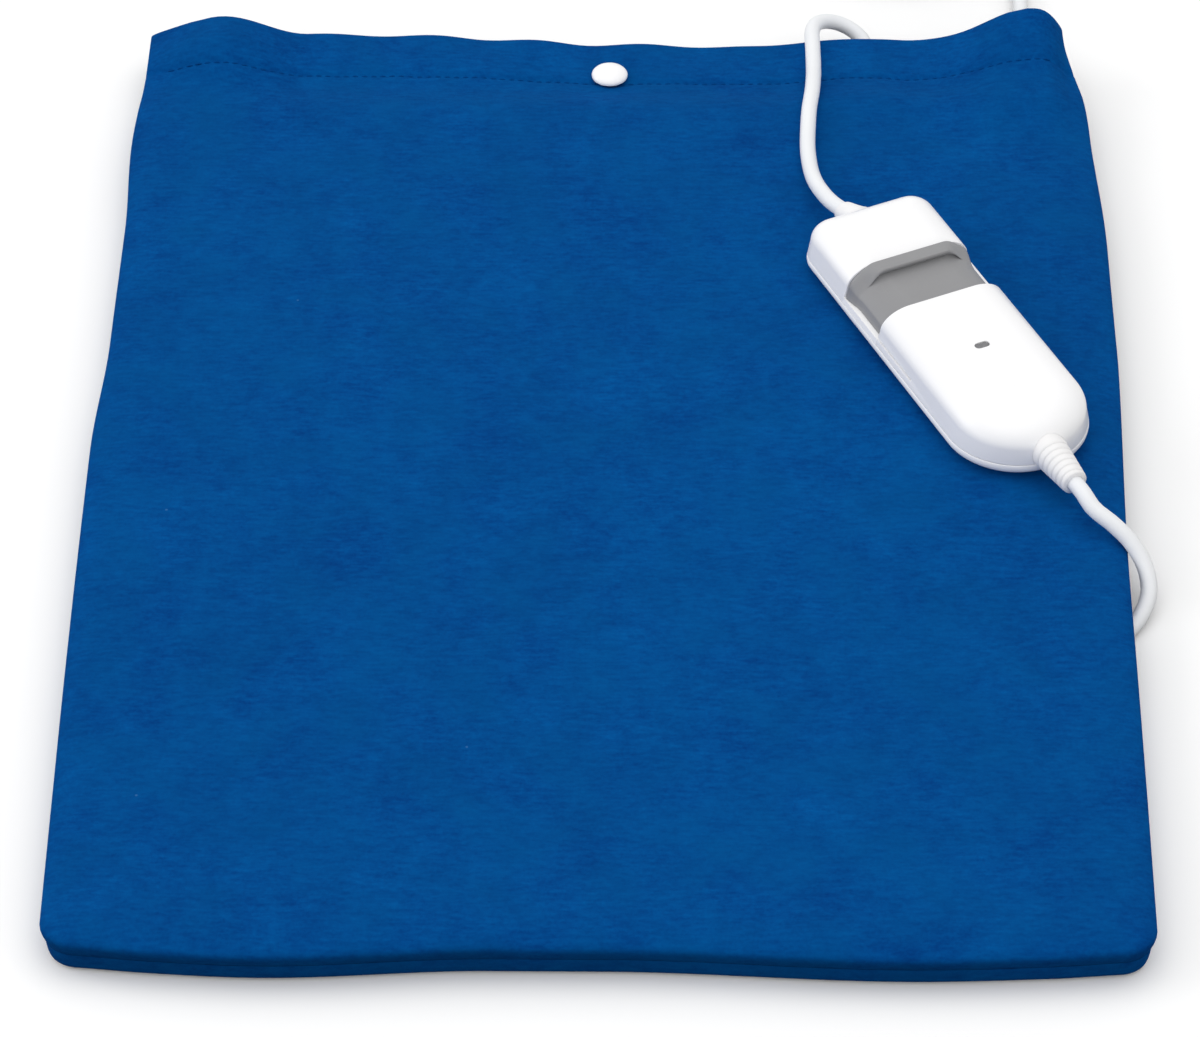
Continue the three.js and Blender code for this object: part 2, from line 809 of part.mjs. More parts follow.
const screwPlaces = [-1, 1].flatMap((end) =>
  [-1, 1].map((side) => [end < 0 ? caseStart + screwInset : caseEnd - screwInset - 3, side * screwSpread]),
);

// Holes through both ends of the case for the two strain reliefs.
const axial = (radius, fromX, toX, height) =>
  new THREE.CylinderGeometry(radius, radius, toX - fromX, 12)
    .rotateZ(Math.PI / 2)
    .translate((fromX + toX) / 2, 0, height);
const padReliefHole = axial(padReliefRadius + fit, caseStart - caseWall, caseStart + padSeat, padAxis);
const mainsReliefHole = axial(mainsReliefBase + fit, caseEnd - innerInset - caseWall, hoodEnd, cordAxis);
const mainsReliefStart = caseEnd - innerInset - caseWall - reliefFlange - fit;
const mainsFlangeHole = axial(
  mainsReliefBase + reliefLip + fit,
  mainsReliefStart - fit,
  mainsReliefStart + reliefFlange + fit,
  cordAxis,
);

const lowerShell = cut(
  overlap(caseSlab(0), span(caseStart, caseEnd, 0, partingHeight)),
  overlap(caseSlab(caseWall), span(caseStart, caseEnd, 0, skyHigh)),
  padReliefHole,
  mainsReliefHole,
);
const postBase = caseWall / 2;
const lowerPosts = screwPlaces.map(([x, y]) => rod(bossRadius, partingHeight - postBase, x, y, postBase));
const boardPostLength = 4;
const boardPosts = [-1, 1].map((end) =>
  block(
    boardPostLength,
    boardWidth / 2,
    boardBottom - fit - postBase,
    boardX + end * (boardLength / 2 - boardPostLength),
    0,
    postBase,
  ),
);
const screwHoles = screwPlaces.flatMap(([x, y]) => [
  rod(screwRadius + fit, skyHigh, x, y, -1),
  rod(screwHeadRadius + fit, screwHeadHeight + 2 * fit + 1, x, y, -1),
]);
const lowerBody = join(lowerShell, ...lowerPosts, ...boardPosts);
piece(controller, "case_lower_shell", cut(lowerBody, ...screwHoles), whitePlastic);

// Upper shell: full height at the pad end, then a lowered deck that the slider and the hood cover.
const fullHeightEnd = cut(
  overlap(caseSlab(0), span(caseStart, deckX, above, skyHigh)),
  overlap(caseSlab(caseWall), span(caseStart, deckX - caseWall, 0, skyHigh)),
);
const deck = cut(
  overlap(caseSlab(deckInset), span(deckX - caseWall, caseEnd, above, skyHigh)),
  overlap(caseRoom(innerInset), span(deckX - 2 * caseWall, caseEnd, 0, skyHigh)),
);
const throughWall = overlap(caseRoom(innerInset), span(deckX - 2 * caseWall, deckX + 1, 0, skyHigh));
const upperBosses = screwPlaces.map(([x, y]) =>
  rod(bossRadius, (x < deckX ? caseHeight - caseWall : deckUnder) + caseWall / 4 - above, x, y, above),
);
const stemStart = sliderX + 9;
const stemSlot = block(
  stemLength + sliderTravel + 2 * fit,
  stemWidth + 2 * fit,
  caseHeight,
  stemStart + (stemLength + sliderTravel) / 2,
  0,
  deckUnder - caseWall,
);
const lampX = caseEnd - lampInset;
const lampHole = rod(lampRadius + fit, caseHeight, lampX, 0, boardTop);
const shankBase = fit + screwHeadHeight / 2;
const shankLength = partingHeight + 6;
const bossHoles = screwPlaces.map(([x, y]) => rod(screwRadius + fit, shankLength + fit, x, y, shankBase));
piece(
  controller,
  "case_upper_shell",
  cut(
    join(cut(join(fullHeightEnd, deck), throughWall), ...upperBosses),
    stemSlot,
    lampHole,
    padReliefHole,
    mainsReliefHole,
    mainsFlangeHole,
    ...bossHoles,
  ),
  whitePlastic,
);

// Hood over the mains half of the deck, with the slider's plate and skirts running under it.
const windowHole = block(windowLength + 2 * fit, windowWidth + 2 * fit, caseHeight, lampX, 0, deckTop);
const hoodShell = cut(
  overlap(caseSlab(0), span(hoodX, hoodEnd, above, skyHigh)),
  overlap(caseSlab(hoodWall), span(hoodX - 1, hoodEnd, 0, skyHigh)),
  windowHole,
  mainsReliefHole,
);
const hoodFootX = sliderX + sliderLength + sliderTravel + 2;
const hoodFeet = [-1, 1].map((side) =>
  block(
    caseEnd - screwInset - hoodFootX - 10,
    hoodFootWidth,
    hoodWall / 2 + sliderInset - hoodWall + sliderWall,
    (hoodFootX + caseEnd - screwInset - 10) / 2,
    side * (caseWidth / 6),
    deckTop + fit,
  ),
);
piece(controller, "case_hood", join(hoodShell, ...hoodFeet), whitePlastic);

// Slider: a saddle over the deck with skirts down both flanks, a thumb ridge and a stem through the deck.
const sliderSaddle = cut(
  overlap(caseSlab(sliderInset), span(sliderX, sliderX + sliderLength, above, skyHigh)),
  overlap(caseSlab(sliderInset + sliderWall), span(sliderX - 1, sliderX + sliderLength + 1, 0, skyHigh)),
);
const ridge = block(
  ridgeLength,
  ridgeWidth,
  sliderInset + ridgeProud + sliderWall / 2,
  sliderX + ridgeLength / 2,
  0,
  caseHeight - sliderInset - sliderWall / 2,
);
const sliderUnder = caseHeight - sliderInset - sliderWall;
const carriageTop = deckUnder - fit;
const stem = block(
  stemLength,
  stemWidth,
  sliderUnder + sliderWall / 2 - carriageTop - fit,
  stemStart + stemLength / 2,
  0,
  carriageTop + fit,
);
piece(controller, "slider", join(sliderSaddle, ridge, stem), greyPlastic);

// Switch on the board: a base with fixed contacts, a carriage with two wipers and a detent spring.
const baseHeight = 1;
const contactTop = boardTop + fit + contactThickness;
const carriageBottom = contactTop + fit + contactThickness + fit + baseHeight;
const carriageX = stemStart + stemLength / 2;
const contactPitch = sliderTravel / 3;
const board = cut(
  block(boardLength, boardWidth, boardThickness, boardX, 0, boardBottom),
  rod(lampRadius / 2, skyHigh, boardX, boardWidth / 4, 0),
);
piece(controller, "circuit_board", board, boardGreen);
const carriage = block(
  carriageLength,
  carriageWidth,
  carriageTop - carriageBottom,
  carriageX,
  0,
  carriageBottom,
);
piece(controller, "contact_carriage", carriage, darkPlastic);
for (const [name, side] of [["left", 1], ["right", -1]]) {
  const foot = block(
    contactWidth,
    contactWidth,
    contactThickness,
    carriageX,
    (side * carriageWidth) / 4,
    contactTop + fit,
  );
  const leg = block(
    contactThickness,
    contactWidth,
    carriageBottom - fit - contactTop - fit,
    carriageX + contactWidth / 2 - contactThickness / 2,
    (side * carriageWidth) / 4,
    contactTop + fit,
  );
  piece(controller, `wiper_${name}`, join(foot, leg), brass);
}
const railSide = carriageWidth / 2 + fit;
const baseRail = block(
  carriageLength + sliderTravel + 6,
  railWidth,
  carriageTop - fit - boardTop - fit,
  carriageX + sliderTravel / 2,
  railSide + railWidth / 2,
  boardTop + fit,
);
const notches = Array.from({ length: 4 }, (unused, i) =>
  rod(0.8, skyHigh, carriageX + i * contactPitch, railSide + railWidth, 0, 12),
);
piece(controller, "switch_base", cut(baseRail, ...notches), darkPlastic);
const springZ = carriageTop - 3;
piece(
  controller,
  "detent_spring",
  block(carriageLength - 2, contactThickness, 2, carriageX, -railSide - contactThickness / 2, springZ),
  steel,
);
for (let level = 0; level < 4; level += 1) {
  const strip = block(
    contactPitch - 2 * fit,
    carriageWidth - 2,
    contactThickness,
    carriageX + level * contactPitch,
    0,
    boardTop + fit,
  );
  piece(controller, `fixed_contact_${level}`, strip, brass);
}

// Lamp, its window, and the parts beside the switch on the board.
const lampBase = boardTop + fit;
const windowBottom = deckTop + fit;
piece(
  controller,
  "indicator_lamp",
  turned(
    [
      [0, lampBase],
      [lampRadius, lampBase],
      [lampRadius, windowBottom - fit - lampRadius / 2],
      [lampRadius / 2, windowBottom - fit],
      [0, windowBottom - fit],
    ],
    12,
  ),
  redLamp,
  lampX,
);
const windowBlock = block(
  windowLength,
  windowWidth,
  caseHeight - windowBottom,
  lampX,
  0,
  windowBottom,
);
piece(controller, "lamp_window", windowBlock, clearWindow);
const lyingRod = (radius, length, x, y) =>
  new THREE.CylinderGeometry(radius, radius, length, 10)
    .rotateZ(Math.PI / 2)
    .translate(x, y, lampBase + radius);
const besideX = boardX + boardLength / 2;
const edgeY = boardWidth / 2;
piece(controller, "lamp_resistor", lyingRod(1.2, 6, besideX - 6, edgeY - 3), brownWire);
piece(controller, "half_wave_diode", lyingRod(1.6, 7, besideX - 6, -edgeY + 3), darkPlastic);
const fuseX = boardX - boardLength / 2 + 6.5;
const fuseY = railSide + railWidth + fuseGap + fuseRadius;
piece(controller, "board_fuse", lyingRod(fuseRadius, 11, fuseX, fuseY), clearWindow);

// Case screws, driven up from below.
screwPlaces.forEach(([x, y], i) => {
  const head = rod(screwHeadRadius, screwHeadHeight, x, y, fit);
  const shank = rod(screwRadius, shankLength, x, y, shankBase, 10);
  piece(controller, `case_screw_${i + 1}`, join(head, shank), steel);
});

// Strain reliefs, each with a flange inside the case.
const cordBore = cordRadius + fit;
const padRelief = turned(
  [
    [cordBore, 0],
    [padReliefRadius + reliefLip, 0],
    [padReliefRadius + reliefLip, reliefFlange],
    [padReliefRadius, reliefFlange],
    [padReliefRadius, reliefFlange + padSeat],
    [cordBore + 1, reliefFlange + padSeat + padReliefLength],
    [cordBore, reliefFlange + padSeat + padReliefLength],
    [cordBore, 0],
  ],
  12,
);
const padReliefBase = caseStart + padSeat + reliefFlange;
padRelief.rotateY(-Math.PI / 2).translate(padReliefBase, 0, padAxis);
piece(controller, "pad_strain_relief", padRelief, whitePlastic);
const ribPitch = mainsReliefLength / reliefRibs;
const taperStart = caseEnd - mainsReliefStart;
const ribProfile = Array.from({ length: reliefRibs }, (unused, i) => {
  const radius = blend(mainsReliefBase, mainsReliefTip, i / (reliefRibs - 1));
  const from = taperStart + i * ribPitch;
  return [
    [radius, from],
    [radius, from + ribPitch * 0.6],
    [radius - 0.8, from + ribPitch * 0.8],
  ];
}).flat();
const mainsRelief = turned(
  [
    [cordBore, 0],
    [mainsReliefBase + reliefLip, 0],
    [mainsReliefBase + reliefLip, reliefFlange],
    [mainsReliefBase, reliefFlange],
    ...ribProfile,
    [cordBore, taperStart + mainsReliefLength],
    [cordBore, 0],
  ],
  12,
);
mainsRelief.rotateY(Math.PI / 2).translate(mainsReliefStart, 0, cordAxis);
piece(controller, "mains_strain_relief", mainsRelief, whitePlastic);

// Bars that clamp each cord to the lower shell, and the leads from the cord ends to the board.
const boardStart = boardX - boardLength / 2;
const boardEnd = boardX + boardLength / 2;
const clampLength = 4;
const clampWidth = 2 * cordDiameter + 4;
const padClampX = padReliefBase + fit + clampLength / 2 + 1;
const mainsClampX = mainsReliefStart - fit - clampLength / 2 - 1;
const clampBar = (x, height) =>
  cut(
    block(clampLength, clampWidth, height + cordRadius / 2 - caseWall - fit, x, 0, caseWall + fit),
    axial(cordBore, x - clampLength, x + clampLength, height),
  );
piece(controller, "pad_cord_clamp", clampBar(padClampX, padAxis), darkPlastic);
piece(controller, "mains_cord_clamp", clampBar(mainsClampX, cordAxis), darkPlastic);
const leadRadius = 0.9;
const leadSide = 1.3;
const coreEnds = [
  ["pad", padClampX + clampLength / 2 + fit, boardStart + 3, padAxis],
  ["mains", mainsClampX - clampLength / 2 - fit, boardEnd - 3, cordAxis],
];
for (const [cord, from, to, height] of coreEnds) {
  for (const [name, side, material] of [["live", 1, brownWire], ["neutral", -1, blueWire]]) {
    const lead = tube(
      [
        [from, side * leadSide, height],
        [blend(from, to, 0.4), side * leadSide * 1.6, height + 1],
        [to, side * leadSide * 3, height + 1],
        [to, side * leadSide * 3, boardTop + fit],
      ],
      leadRadius,
      6,
      2.5,
    );
    piece(controller, `${cord}_core_${name}`, lead, material);
  }
}

// Pad cord, from the controller's pad end over the mouth's hem and back inside to the gland.
const cordSides = 8;
const cordStep = 12;
const onPad = padTop + fit + cordRadius;
controller.updateMatrixWorld(true);
const fromCase = (x, height = cordAxis) => controller.localToWorld(new THREE.Vector3(x, 0, height)).toArray();
const padReliefEnd = caseStart - padReliefLength;
const cordSplitY = innerEndY + 1.5;
const loopLow = glandZ;
const loopTurnY = halfLength + 1.5;
const loopLeft = glandX - 17.5;
const loopRight = glandX + 0.5;
const loopHigh = hemTop + overCord(loopLeft, halfLength) + fit + cordRadius;
const loopRadius = Math.hypot(loopRight - loopLeft, loopHigh - loopLow) / 2;
const loopAt = (angle) => [
  blend(loopRight, loopLeft, (1 - Math.cos(angle)) / 2),
  loopTurnY + loopRadius * Math.sin(angle),
  blend(loopLow, loopHigh, (1 - Math.cos(angle)) / 2),
];
// Its way over the pad, measured from the gland and the controller, with its lift off the cloth.
const acrossPad = [
  [-12, 68.4, 4.3],
  [-15.6, 74, 3.5],
  [-18, 80, 2.2],
  [-19.3, 88, 0.9],
  [-19.8, 97, 0.2],
  [-20.2, 107, 0],
  [-19.5, 119, fit],
];
piece(
  object,
  "pad_cord_run",
  tube(
    [
      fromCase(padClampX + clampLength / 2, padAxis),
      fromCase(padReliefBase, padAxis),
      fromCase(padReliefEnd + 1, padAxis),
      fromCase(padReliefEnd - cordDiameter, padAxis),
      ...acrossPad.map(([x, y, lift]) => [glandX + x, controllerY + y, onPad + lift]),
      [loopLeft - 1.3, cordSplitY, onPad + fit],
    ],
    cordRadius,
    cordSides,
    cordStep / 2,
  ),
  cordVinyl,
);
piece(
  object,
  "pad_cord_loop",
  tube(
    [
      [loopLeft - 1.3, cordSplitY + fit, onPad + fit],
      [loopLeft - 0.8, cordSplitY + 4, onPad + fit],
      [loopLeft - fit, cordSplitY + 11.5, blend(loopHigh, onPad, 0.65)],
      [loopLeft, cordSplitY + 18.5, loopHigh],
      [loopLeft, loopTurnY - 8, loopHigh],
      ...[6, 5, 4, 3, 2, 1, 0].map((i) => loopAt((i * Math.PI) / 6)),
      [glandX, loopTurnY - 8, loopLow],
      [glandX, seamY + 3, loopLow],
    ],
    cordRadius,
    cordSides,
    5,
  ),
  cordVinyl,
);
piece(
  object,
  "pad_cord_inner",
  tube(
    [
      [glandX, seamY + 3 - fit, loopLow],
      [glandX, (seamY + 3 + glandNear + glandDepth) / 2, loopLow],
      [glandX, glandNear + glandDepth + fit, loopLow],
    ],
    cordRadius,
    cordSides,
    5,
  ),
  cordVinyl,
);

// Mains cord: over the right edge, round under the propped flank, out behind the far corner.
const onFloor = cordRadius + 0.1;
const mainsReliefEnd = mainsReliefStart + taperStart + mainsReliefLength;
const coilLayerLow = tieThickness + 2 * fit + cordRadius;
const coilLayerHigh = coilLayerLow + coilPitch;
const coilOuterRadius = coilInnerRadius + (coilPitch * coilTurns) / 2;
const coilEntryX = halfWidth - 14;
const coilX = coilEntryX - coilOuterRadius;
const coilY = halfLength + 86;
// Its way over the edge and under the flank, measured from the cover's right edge and from the controller.
const overEdge = [
  [-7, -78.3, onPad + 4],
  [-1.2, -82.5, onPad + 1.4],
  [4.2, -86.5, 14.6],
  [8, -91.7, 10],
  [9, -98.1, 6],
  [6.4, -105.3, 3.4],
];
const underFlank = [
  [1.6, -112.1],
  [-6.9, -119.3],
  [-17.6, -121.3],
  [-27.8, -117.5],
  [-34.6, -109.3],
  [-36.7, -98.7],
  [-36, -82.7],
  [-33.5, -60.7],
  [-30, -34.7],
  [-26, -4.7],
  [-22, 29.3],
  [-18.4, 64.3],
  [-15.8, 99.3],
  [-14.4, 131.3],
];
piece(
  object,
  "mains_cord_run",
  tube(
    [
      fromCase(mainsClampX - clampLength / 2),
      fromCase(mainsReliefStart),
      fromCase(caseEnd),
      fromCase(mainsReliefEnd - 1),
      fromCase(mainsReliefEnd + cordDiameter),
      ...overEdge.map(([x, y, z]) => [halfWidth + x, controllerY + y, z]),
      ...underFlank.map(([x, y]) => [halfWidth + x, controllerY + y, onFloor]),
      [coilEntryX, halfLength - 2, onFloor],
      [coilEntryX, coilY - 52, onFloor + 0.2],
      [coilEntryX, coilY - 22, coilLayerLow],
      [coilEntryX, coilY - cordDiameter - fit, coilLayerLow],
    ],
    cordRadius,
    cordSides,
    cordStep,
  ),
  cordVinyl,
);

// Coil: one tube that spirals in on the lower layer, climbs where it reverses, and spirals out on top.
const loopSteps = 24;
const coilReverse = coilTurns / 2;
const coilLine = [[coilX + coilOuterRadius, coilY - cordDiameter, coilLayerLow]];
for (let i = 0; i <= coilTurns * loopSteps; i += 1) {
  const turns = i / loopSteps;
  const angle = 2 * Math.PI * turns;
  const radius = coilInnerRadius + coilPitch * Math.abs(turns - coilReverse);
  const climb = smooth((turns - coilReverse + 0.25) / 0.5);
  coilLine.push([
    coilX + radius * Math.cos(angle),
    coilY + radius * Math.sin(angle),
    blend(coilLayerLow, coilLayerHigh, climb),
  ]);
}
coilLine.push([coilX - cordDiameter, coilY + coilOuterRadius, coilLayerHigh]);
const coilStep = (2 * Math.PI * (coilInnerRadius + coilOuterRadius)) / 2 / loopSteps;
piece(object, "mains_cord_coil", tube(coilLine, cordRadius, 6, coilStep), cordVinyl);
let coilGap = Infinity;
coilLine.forEach((a, i) =>
  coilLine.slice(i + loopSteps / 2).forEach((b) => {
    coilGap = Math.min(coilGap, Math.hypot(a[0] - b[0], a[1] - b[1], a[2] - b[2]) - cordDiameter);
  }),
);
console.log(`least gap between the coil's turns: ${coilGap.toFixed(2)} mm`);

// Tie round all the turns on the coil's left.
const tieHeight = coilLayerHigh - coilLayerLow + cordDiameter + 2 * fit;
const tieLength = coilOuterRadius - coilInnerRadius + cordDiameter;
const tieX = coilX - (coilInnerRadius + coilOuterRadius) / 2;
const tieBase = coilLayerLow - cordRadius - fit;
piece(
  object,
  "coil_tie",
  cut(
    block(
      tieLength + 2 * tieThickness,
      tieWidth,
      tieHeight + 2 * tieThickness,
      tieX,
      coilY,
      tieBase - tieThickness,
    ),
    block(tieLength, 2 * tieWidth, tieHeight, tieX, coilY, tieBase),
  ),
  darkPlastic,
);

// Plug with two round pins, lying flat beside the coil, and the short tail that leads to it.
const plugZ = plugThickness / 2 + fit;
const plugY = coilY + coilOuterRadius;
const tailEndX = coilX - 24.7;
const plugBack = tailEndX - fit;
piece(
  object,
  "mains_cord_tail",
  tube(
    [
      [coilX - cordDiameter - fit, plugY, coilLayerHigh],
      [coilX - 2 * cordDiameter, plugY, coilLayerHigh],
      [tailEndX + cordDiameter, plugY, plugZ],
      [tailEndX, plugY, plugZ],
    ],
    cordRadius,
    cordSides,
    5,
  ),
  cordVinyl,
);
const plugOutline = new THREE.Shape();
const plugCorner = 5;
plugOutline.moveTo(0, -plugReliefRadius - plugCorner);
plugOutline.lineTo(-plugCorner, -plugWidth / 2);
plugOutline.lineTo(-plugLength * 0.6, -plugWidth / 2);
plugOutline.lineTo(-plugLength, -plugNose / 2);
plugOutline.lineTo(-plugLength, plugNose / 2);
plugOutline.lineTo(-plugLength * 0.6, plugWidth / 2);
plugOutline.lineTo(-plugCorner, plugWidth / 2);
plugOutline.lineTo(0, plugReliefRadius + plugCorner);
plugOutline.closePath();
const plugEdge = 2.5;
const plugShell = new THREE.ExtrudeGeometry(plugOutline, {
  depth: plugThickness - 2 * plugEdge,
  bevelThickness: plugEdge,
  bevelSize: plugEdge,
  bevelOffset: -plugEdge,
  bevelSegments: 2,
}).translate(plugBack - plugReliefLength, plugY, plugZ - plugThickness / 2 + plugEdge);
const plugReliefFull = plugReliefLength + plugEdge + 1;
const plugRelief = new THREE.CylinderGeometry(cordRadius + 1, plugReliefRadius, plugReliefFull, 14)
  .rotateZ(-Math.PI / 2)
  .translate(plugBack - plugReliefFull / 2, plugY, plugZ);
const plugNoseX = plugBack - plugReliefLength - plugLength;
const pinSeat = 6;
const pin = (side, radius) =>
  new THREE.CylinderGeometry(radius, radius, pinLength + pinSeat, 14)
    .rotateZ(Math.PI / 2)
    .translate(plugNoseX - (pinLength - pinSeat) / 2, plugY + (side * pinSpacing) / 2, plugZ);
const pinHoles = [-1, 1].map((side) => pin(side, pinRadius + fit));
piece(object, "plug_body", cut(join(plugShell, plugRelief), ...pinHoles), whitePlastic);
piece(object, "plug_pin_left", pin(-1, pinRadius), steel);
piece(object, "plug_pin_right", pin(1, pinRadius), steel);

export default object;
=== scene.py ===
import math

import bmesh
import bpy
import numpy as np
from mathutils import Matrix, Vector


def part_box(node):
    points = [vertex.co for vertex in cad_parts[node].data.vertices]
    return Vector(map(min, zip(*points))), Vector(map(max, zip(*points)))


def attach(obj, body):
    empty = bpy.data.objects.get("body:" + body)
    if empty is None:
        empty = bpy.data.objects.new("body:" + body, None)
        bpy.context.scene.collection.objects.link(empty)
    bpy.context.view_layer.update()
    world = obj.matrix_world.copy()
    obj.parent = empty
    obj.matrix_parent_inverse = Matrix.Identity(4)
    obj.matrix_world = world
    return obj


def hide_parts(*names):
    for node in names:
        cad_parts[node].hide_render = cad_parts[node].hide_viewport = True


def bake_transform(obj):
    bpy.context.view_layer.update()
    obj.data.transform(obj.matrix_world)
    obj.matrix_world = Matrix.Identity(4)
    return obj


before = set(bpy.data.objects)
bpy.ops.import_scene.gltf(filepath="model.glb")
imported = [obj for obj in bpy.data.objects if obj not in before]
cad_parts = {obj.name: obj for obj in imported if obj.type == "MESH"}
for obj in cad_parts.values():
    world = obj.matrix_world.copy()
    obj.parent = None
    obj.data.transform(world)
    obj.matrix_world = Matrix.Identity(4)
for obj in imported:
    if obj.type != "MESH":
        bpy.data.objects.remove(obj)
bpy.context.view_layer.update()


# Photographer's table: a pale sheet of card, one wide soft lamp overhead and one on the left, two small spots
# on the controller and an even room light. The camera stands in front of the pad and looks down at about 42
# degrees through a long lens.
class Shade:
    """A socket of a shader tree. Arithmetic on it adds Math nodes; node() adds any other."""

    def __init__(self, tree, socket=None):
        self.tree = tree
        self.socket = socket

    def node(self, kind, settings=None, inputs=None, output=0):
        made = self.tree.nodes.new("ShaderNode" + kind)
        for name, value in (settings or {}).items():
            setattr(made, name, value)
        for name, value in (inputs or {}).items():
            if isinstance(value, Shade):
                self.tree.links.new(value.socket, made.inputs[name])
            else:
                made.inputs[name].default_value = value
        return Shade(self.tree, made.outputs[output])

    def into(self, target):
        self.tree.links.new(self.socket, target)

    def maths(self, operation, *values):
        return self.node("Math", {"operation": operation}, dict(enumerate(values)))

    def place(self):
        """The place on the piece, in millimetres."""
        spot = self.node("TexCoord", output="Object")
        return self.node("VectorMath", {"operation": "SCALE"}, {0: spot, "Scale": 1000.0})

    def stretched(self, factors):
        return self.node("VectorMath", {"operation": "MULTIPLY"}, {0: self, 1: factors})

    def blended(self, first, second):
        return self.node("Mix", {"data_type": "RGBA"}, {0: self, 6: first, 7: second}, output=2)

    def noise(self, place, scale, detail, roughness=0.5):
        inputs = {"Vector": place, "Scale": scale, "Detail": detail, "Roughness": roughness}
        return self.node("TexNoise", {}, inputs)

    def bump(self, height, strength, distance):
        return self.node("Bump", {}, {"Strength": strength, "Distance": distance, "Height": height})

    def __add__(self, other):
        return self.maths("ADD", self, other)

    def __sub__(self, other):
        return self.maths("SUBTRACT", self, other)

    def __mul__(self, other):
        return self.maths("MULTIPLY", self, other)

    def __lt__(self, other):
        return self.maths("LESS_THAN", self, other)

    def __gt__(self, other):
        return self.maths("GREATER_THAN", self, other)


def finish(name, values=None):
    made = bpy.data.materials.new(name)
    made.use_nodes = True
    surface = made.node_tree.nodes["Principled BSDF"].inputs
    for socket, value in (values or {}).items():
        surface[socket].default_value = value
    return made, Shade(made.node_tree), surface


def seen_rays(shade):
    """1 for what the lens, a mirror or clear plastic sees, 0 for light that is only bounced."""
    rays = (shade.node("LightPath", output=f"Is {kind} Ray") for kind in ("Camera", "Glossy", "Transmission"))
    lens, mirror, clear = rays
    return shade.maths("MAXIMUM", shade.maths("MAXIMUM", lens, mirror), clear)


scene = bpy.context.scene
scene.view_settings.view_transform = "Standard"

glow = {"Emission Color": (1, 1, 1, 1), "Emission Strength": 0.04}
matt_white = {"Base Color": (0.99, 0.99, 0.99, 1), "Roughness": 0.9, "Specular IOR Level": 0.1}
card, shade, surface = finish("table_card", {**matt_white, **glow})
bounced = shade.node("BsdfDiffuse", {}, {"Color": (0.06, 0.06, 0.061, 1)})
plain = Shade(card.node_tree, card.node_tree.nodes["Principled BSDF"].outputs[0])
shade.node("MixShader", {}, {0: seen_rays(shade), 1: bounced, 2: plain}).into(
    card.node_tree.nodes["Material Output"].inputs["Surface"]
)
table = bpy.data.objects.new("table", bpy.data.meshes.new("table"))
corners, table_level = ((-4, -4), (4, -4), (4, 6), (-4, 6)), -0.0002
table.data.from_pydata([(x, y, table_level) for x, y in corners], [], [(0, 1, 2, 3)])
table.data.materials.append(card)
scene.collection.objects.link(table)

room = bpy.data.worlds.new("room")
room.use_nodes = True
scene.world = room
shade = Shade(room.node_tree)
sky, room_light = room.node_tree.nodes["Background"].inputs, 0.8
(seen_rays(shade) * (1 - room_light) + room_light).into(sky["Strength"])
sky["Color"].default_value = (1, 1, 1, 1)


def placed(name, data, place, target):
    """Stands a lamp or the camera at a place, turned towards its target."""
    made = bpy.data.objects.new(name, data)
    made.location = place
    made.rotation_euler = (Vector(target) - made.location).to_track_quat("-Z", "Y").to_euler()
    scene.collection.objects.link(made)
    return made


for name, place, size, energy in (
    ("softbox", (0.1, 0.1, 2.2), 2.4, 10.5),
    ("left_fill", (-2.4, 0.2, 1.2), 1.6, 15),
):
    lamp = placed(name, bpy.data.lights.new(name, "AREA"), place, (0, 0, 0)).data
    lamp.shape, lamp.size, lamp.energy = "SQUARE", size, energy

spot_target, spot_angle = (0.11, 0.04, 0.022), math.radians(12)
for name, place, energy in (("front_spot", (0.63, -1.05, 0.34), 15), ("left_spot", (-0.96, -0.49, 0.34), 9)):
    lamp = placed(name, bpy.data.lights.new(name, "SPOT"), place, spot_target).data
    lamp.energy, lamp.shadow_soft_size = energy, 0.2
    lamp.spot_size, lamp.spot_blend = spot_angle, 0.9

stand, aim = (0.0088, -1.2155, 1.0675), (-0.00133, -0.02633, 0.008)
scene.camera = placed("camera", bpy.data.cameras.new("camera"), stand, aim)
scene.camera.data.sensor_fit = "HORIZONTAL"
scene.camera.data.sensor_width = 36
scene.camera.data.lens = 160.7


# Cover: a bag of blue fleecy knit, cut as two panels and sewn together on three sides, with a doubled hem
# round its open end. The lower panel lies on the table and rides over the mains cord on its right.
mm = 0.001
half_width, half_length = 151.0, 206.0
front_corner, side_bulge, flat_from = 9.0, 2.0, 20.0
seam_height, pad_top, hem_top, hem_under = 6.8, 14.2, 10.2, 2.0
hem_thick, corner_curl, prop_height = 2.4, 15.5, 5.9
hem_seam, inner_end, snap_y = 185.5, 166.5, 188.5


def smooth(t):
    t = np.clip(t, 0, 1)
    return t * t * (3 - 2 * t)


def hump(t):
    return smooth(1 - np.abs(t))


def rounded_plan(x, y, half, near, far, corner):
    """Draws the corners of a square grid in to a rounded outline."""
    across = np.clip((np.abs(x) - half + corner) / corner, 0, 1)
    along = np.clip(np.maximum(near + corner - y, y - far + corner) / corner, 0, 1)
    press = np.maximum(across, along) / np.maximum(np.hypot(across, along), 1e-6)
    draw = corner * (1 - press) * (across > 0) * (along > 0)
    return x - np.sign(x) * across * draw, y - np.sign(y) * along * draw


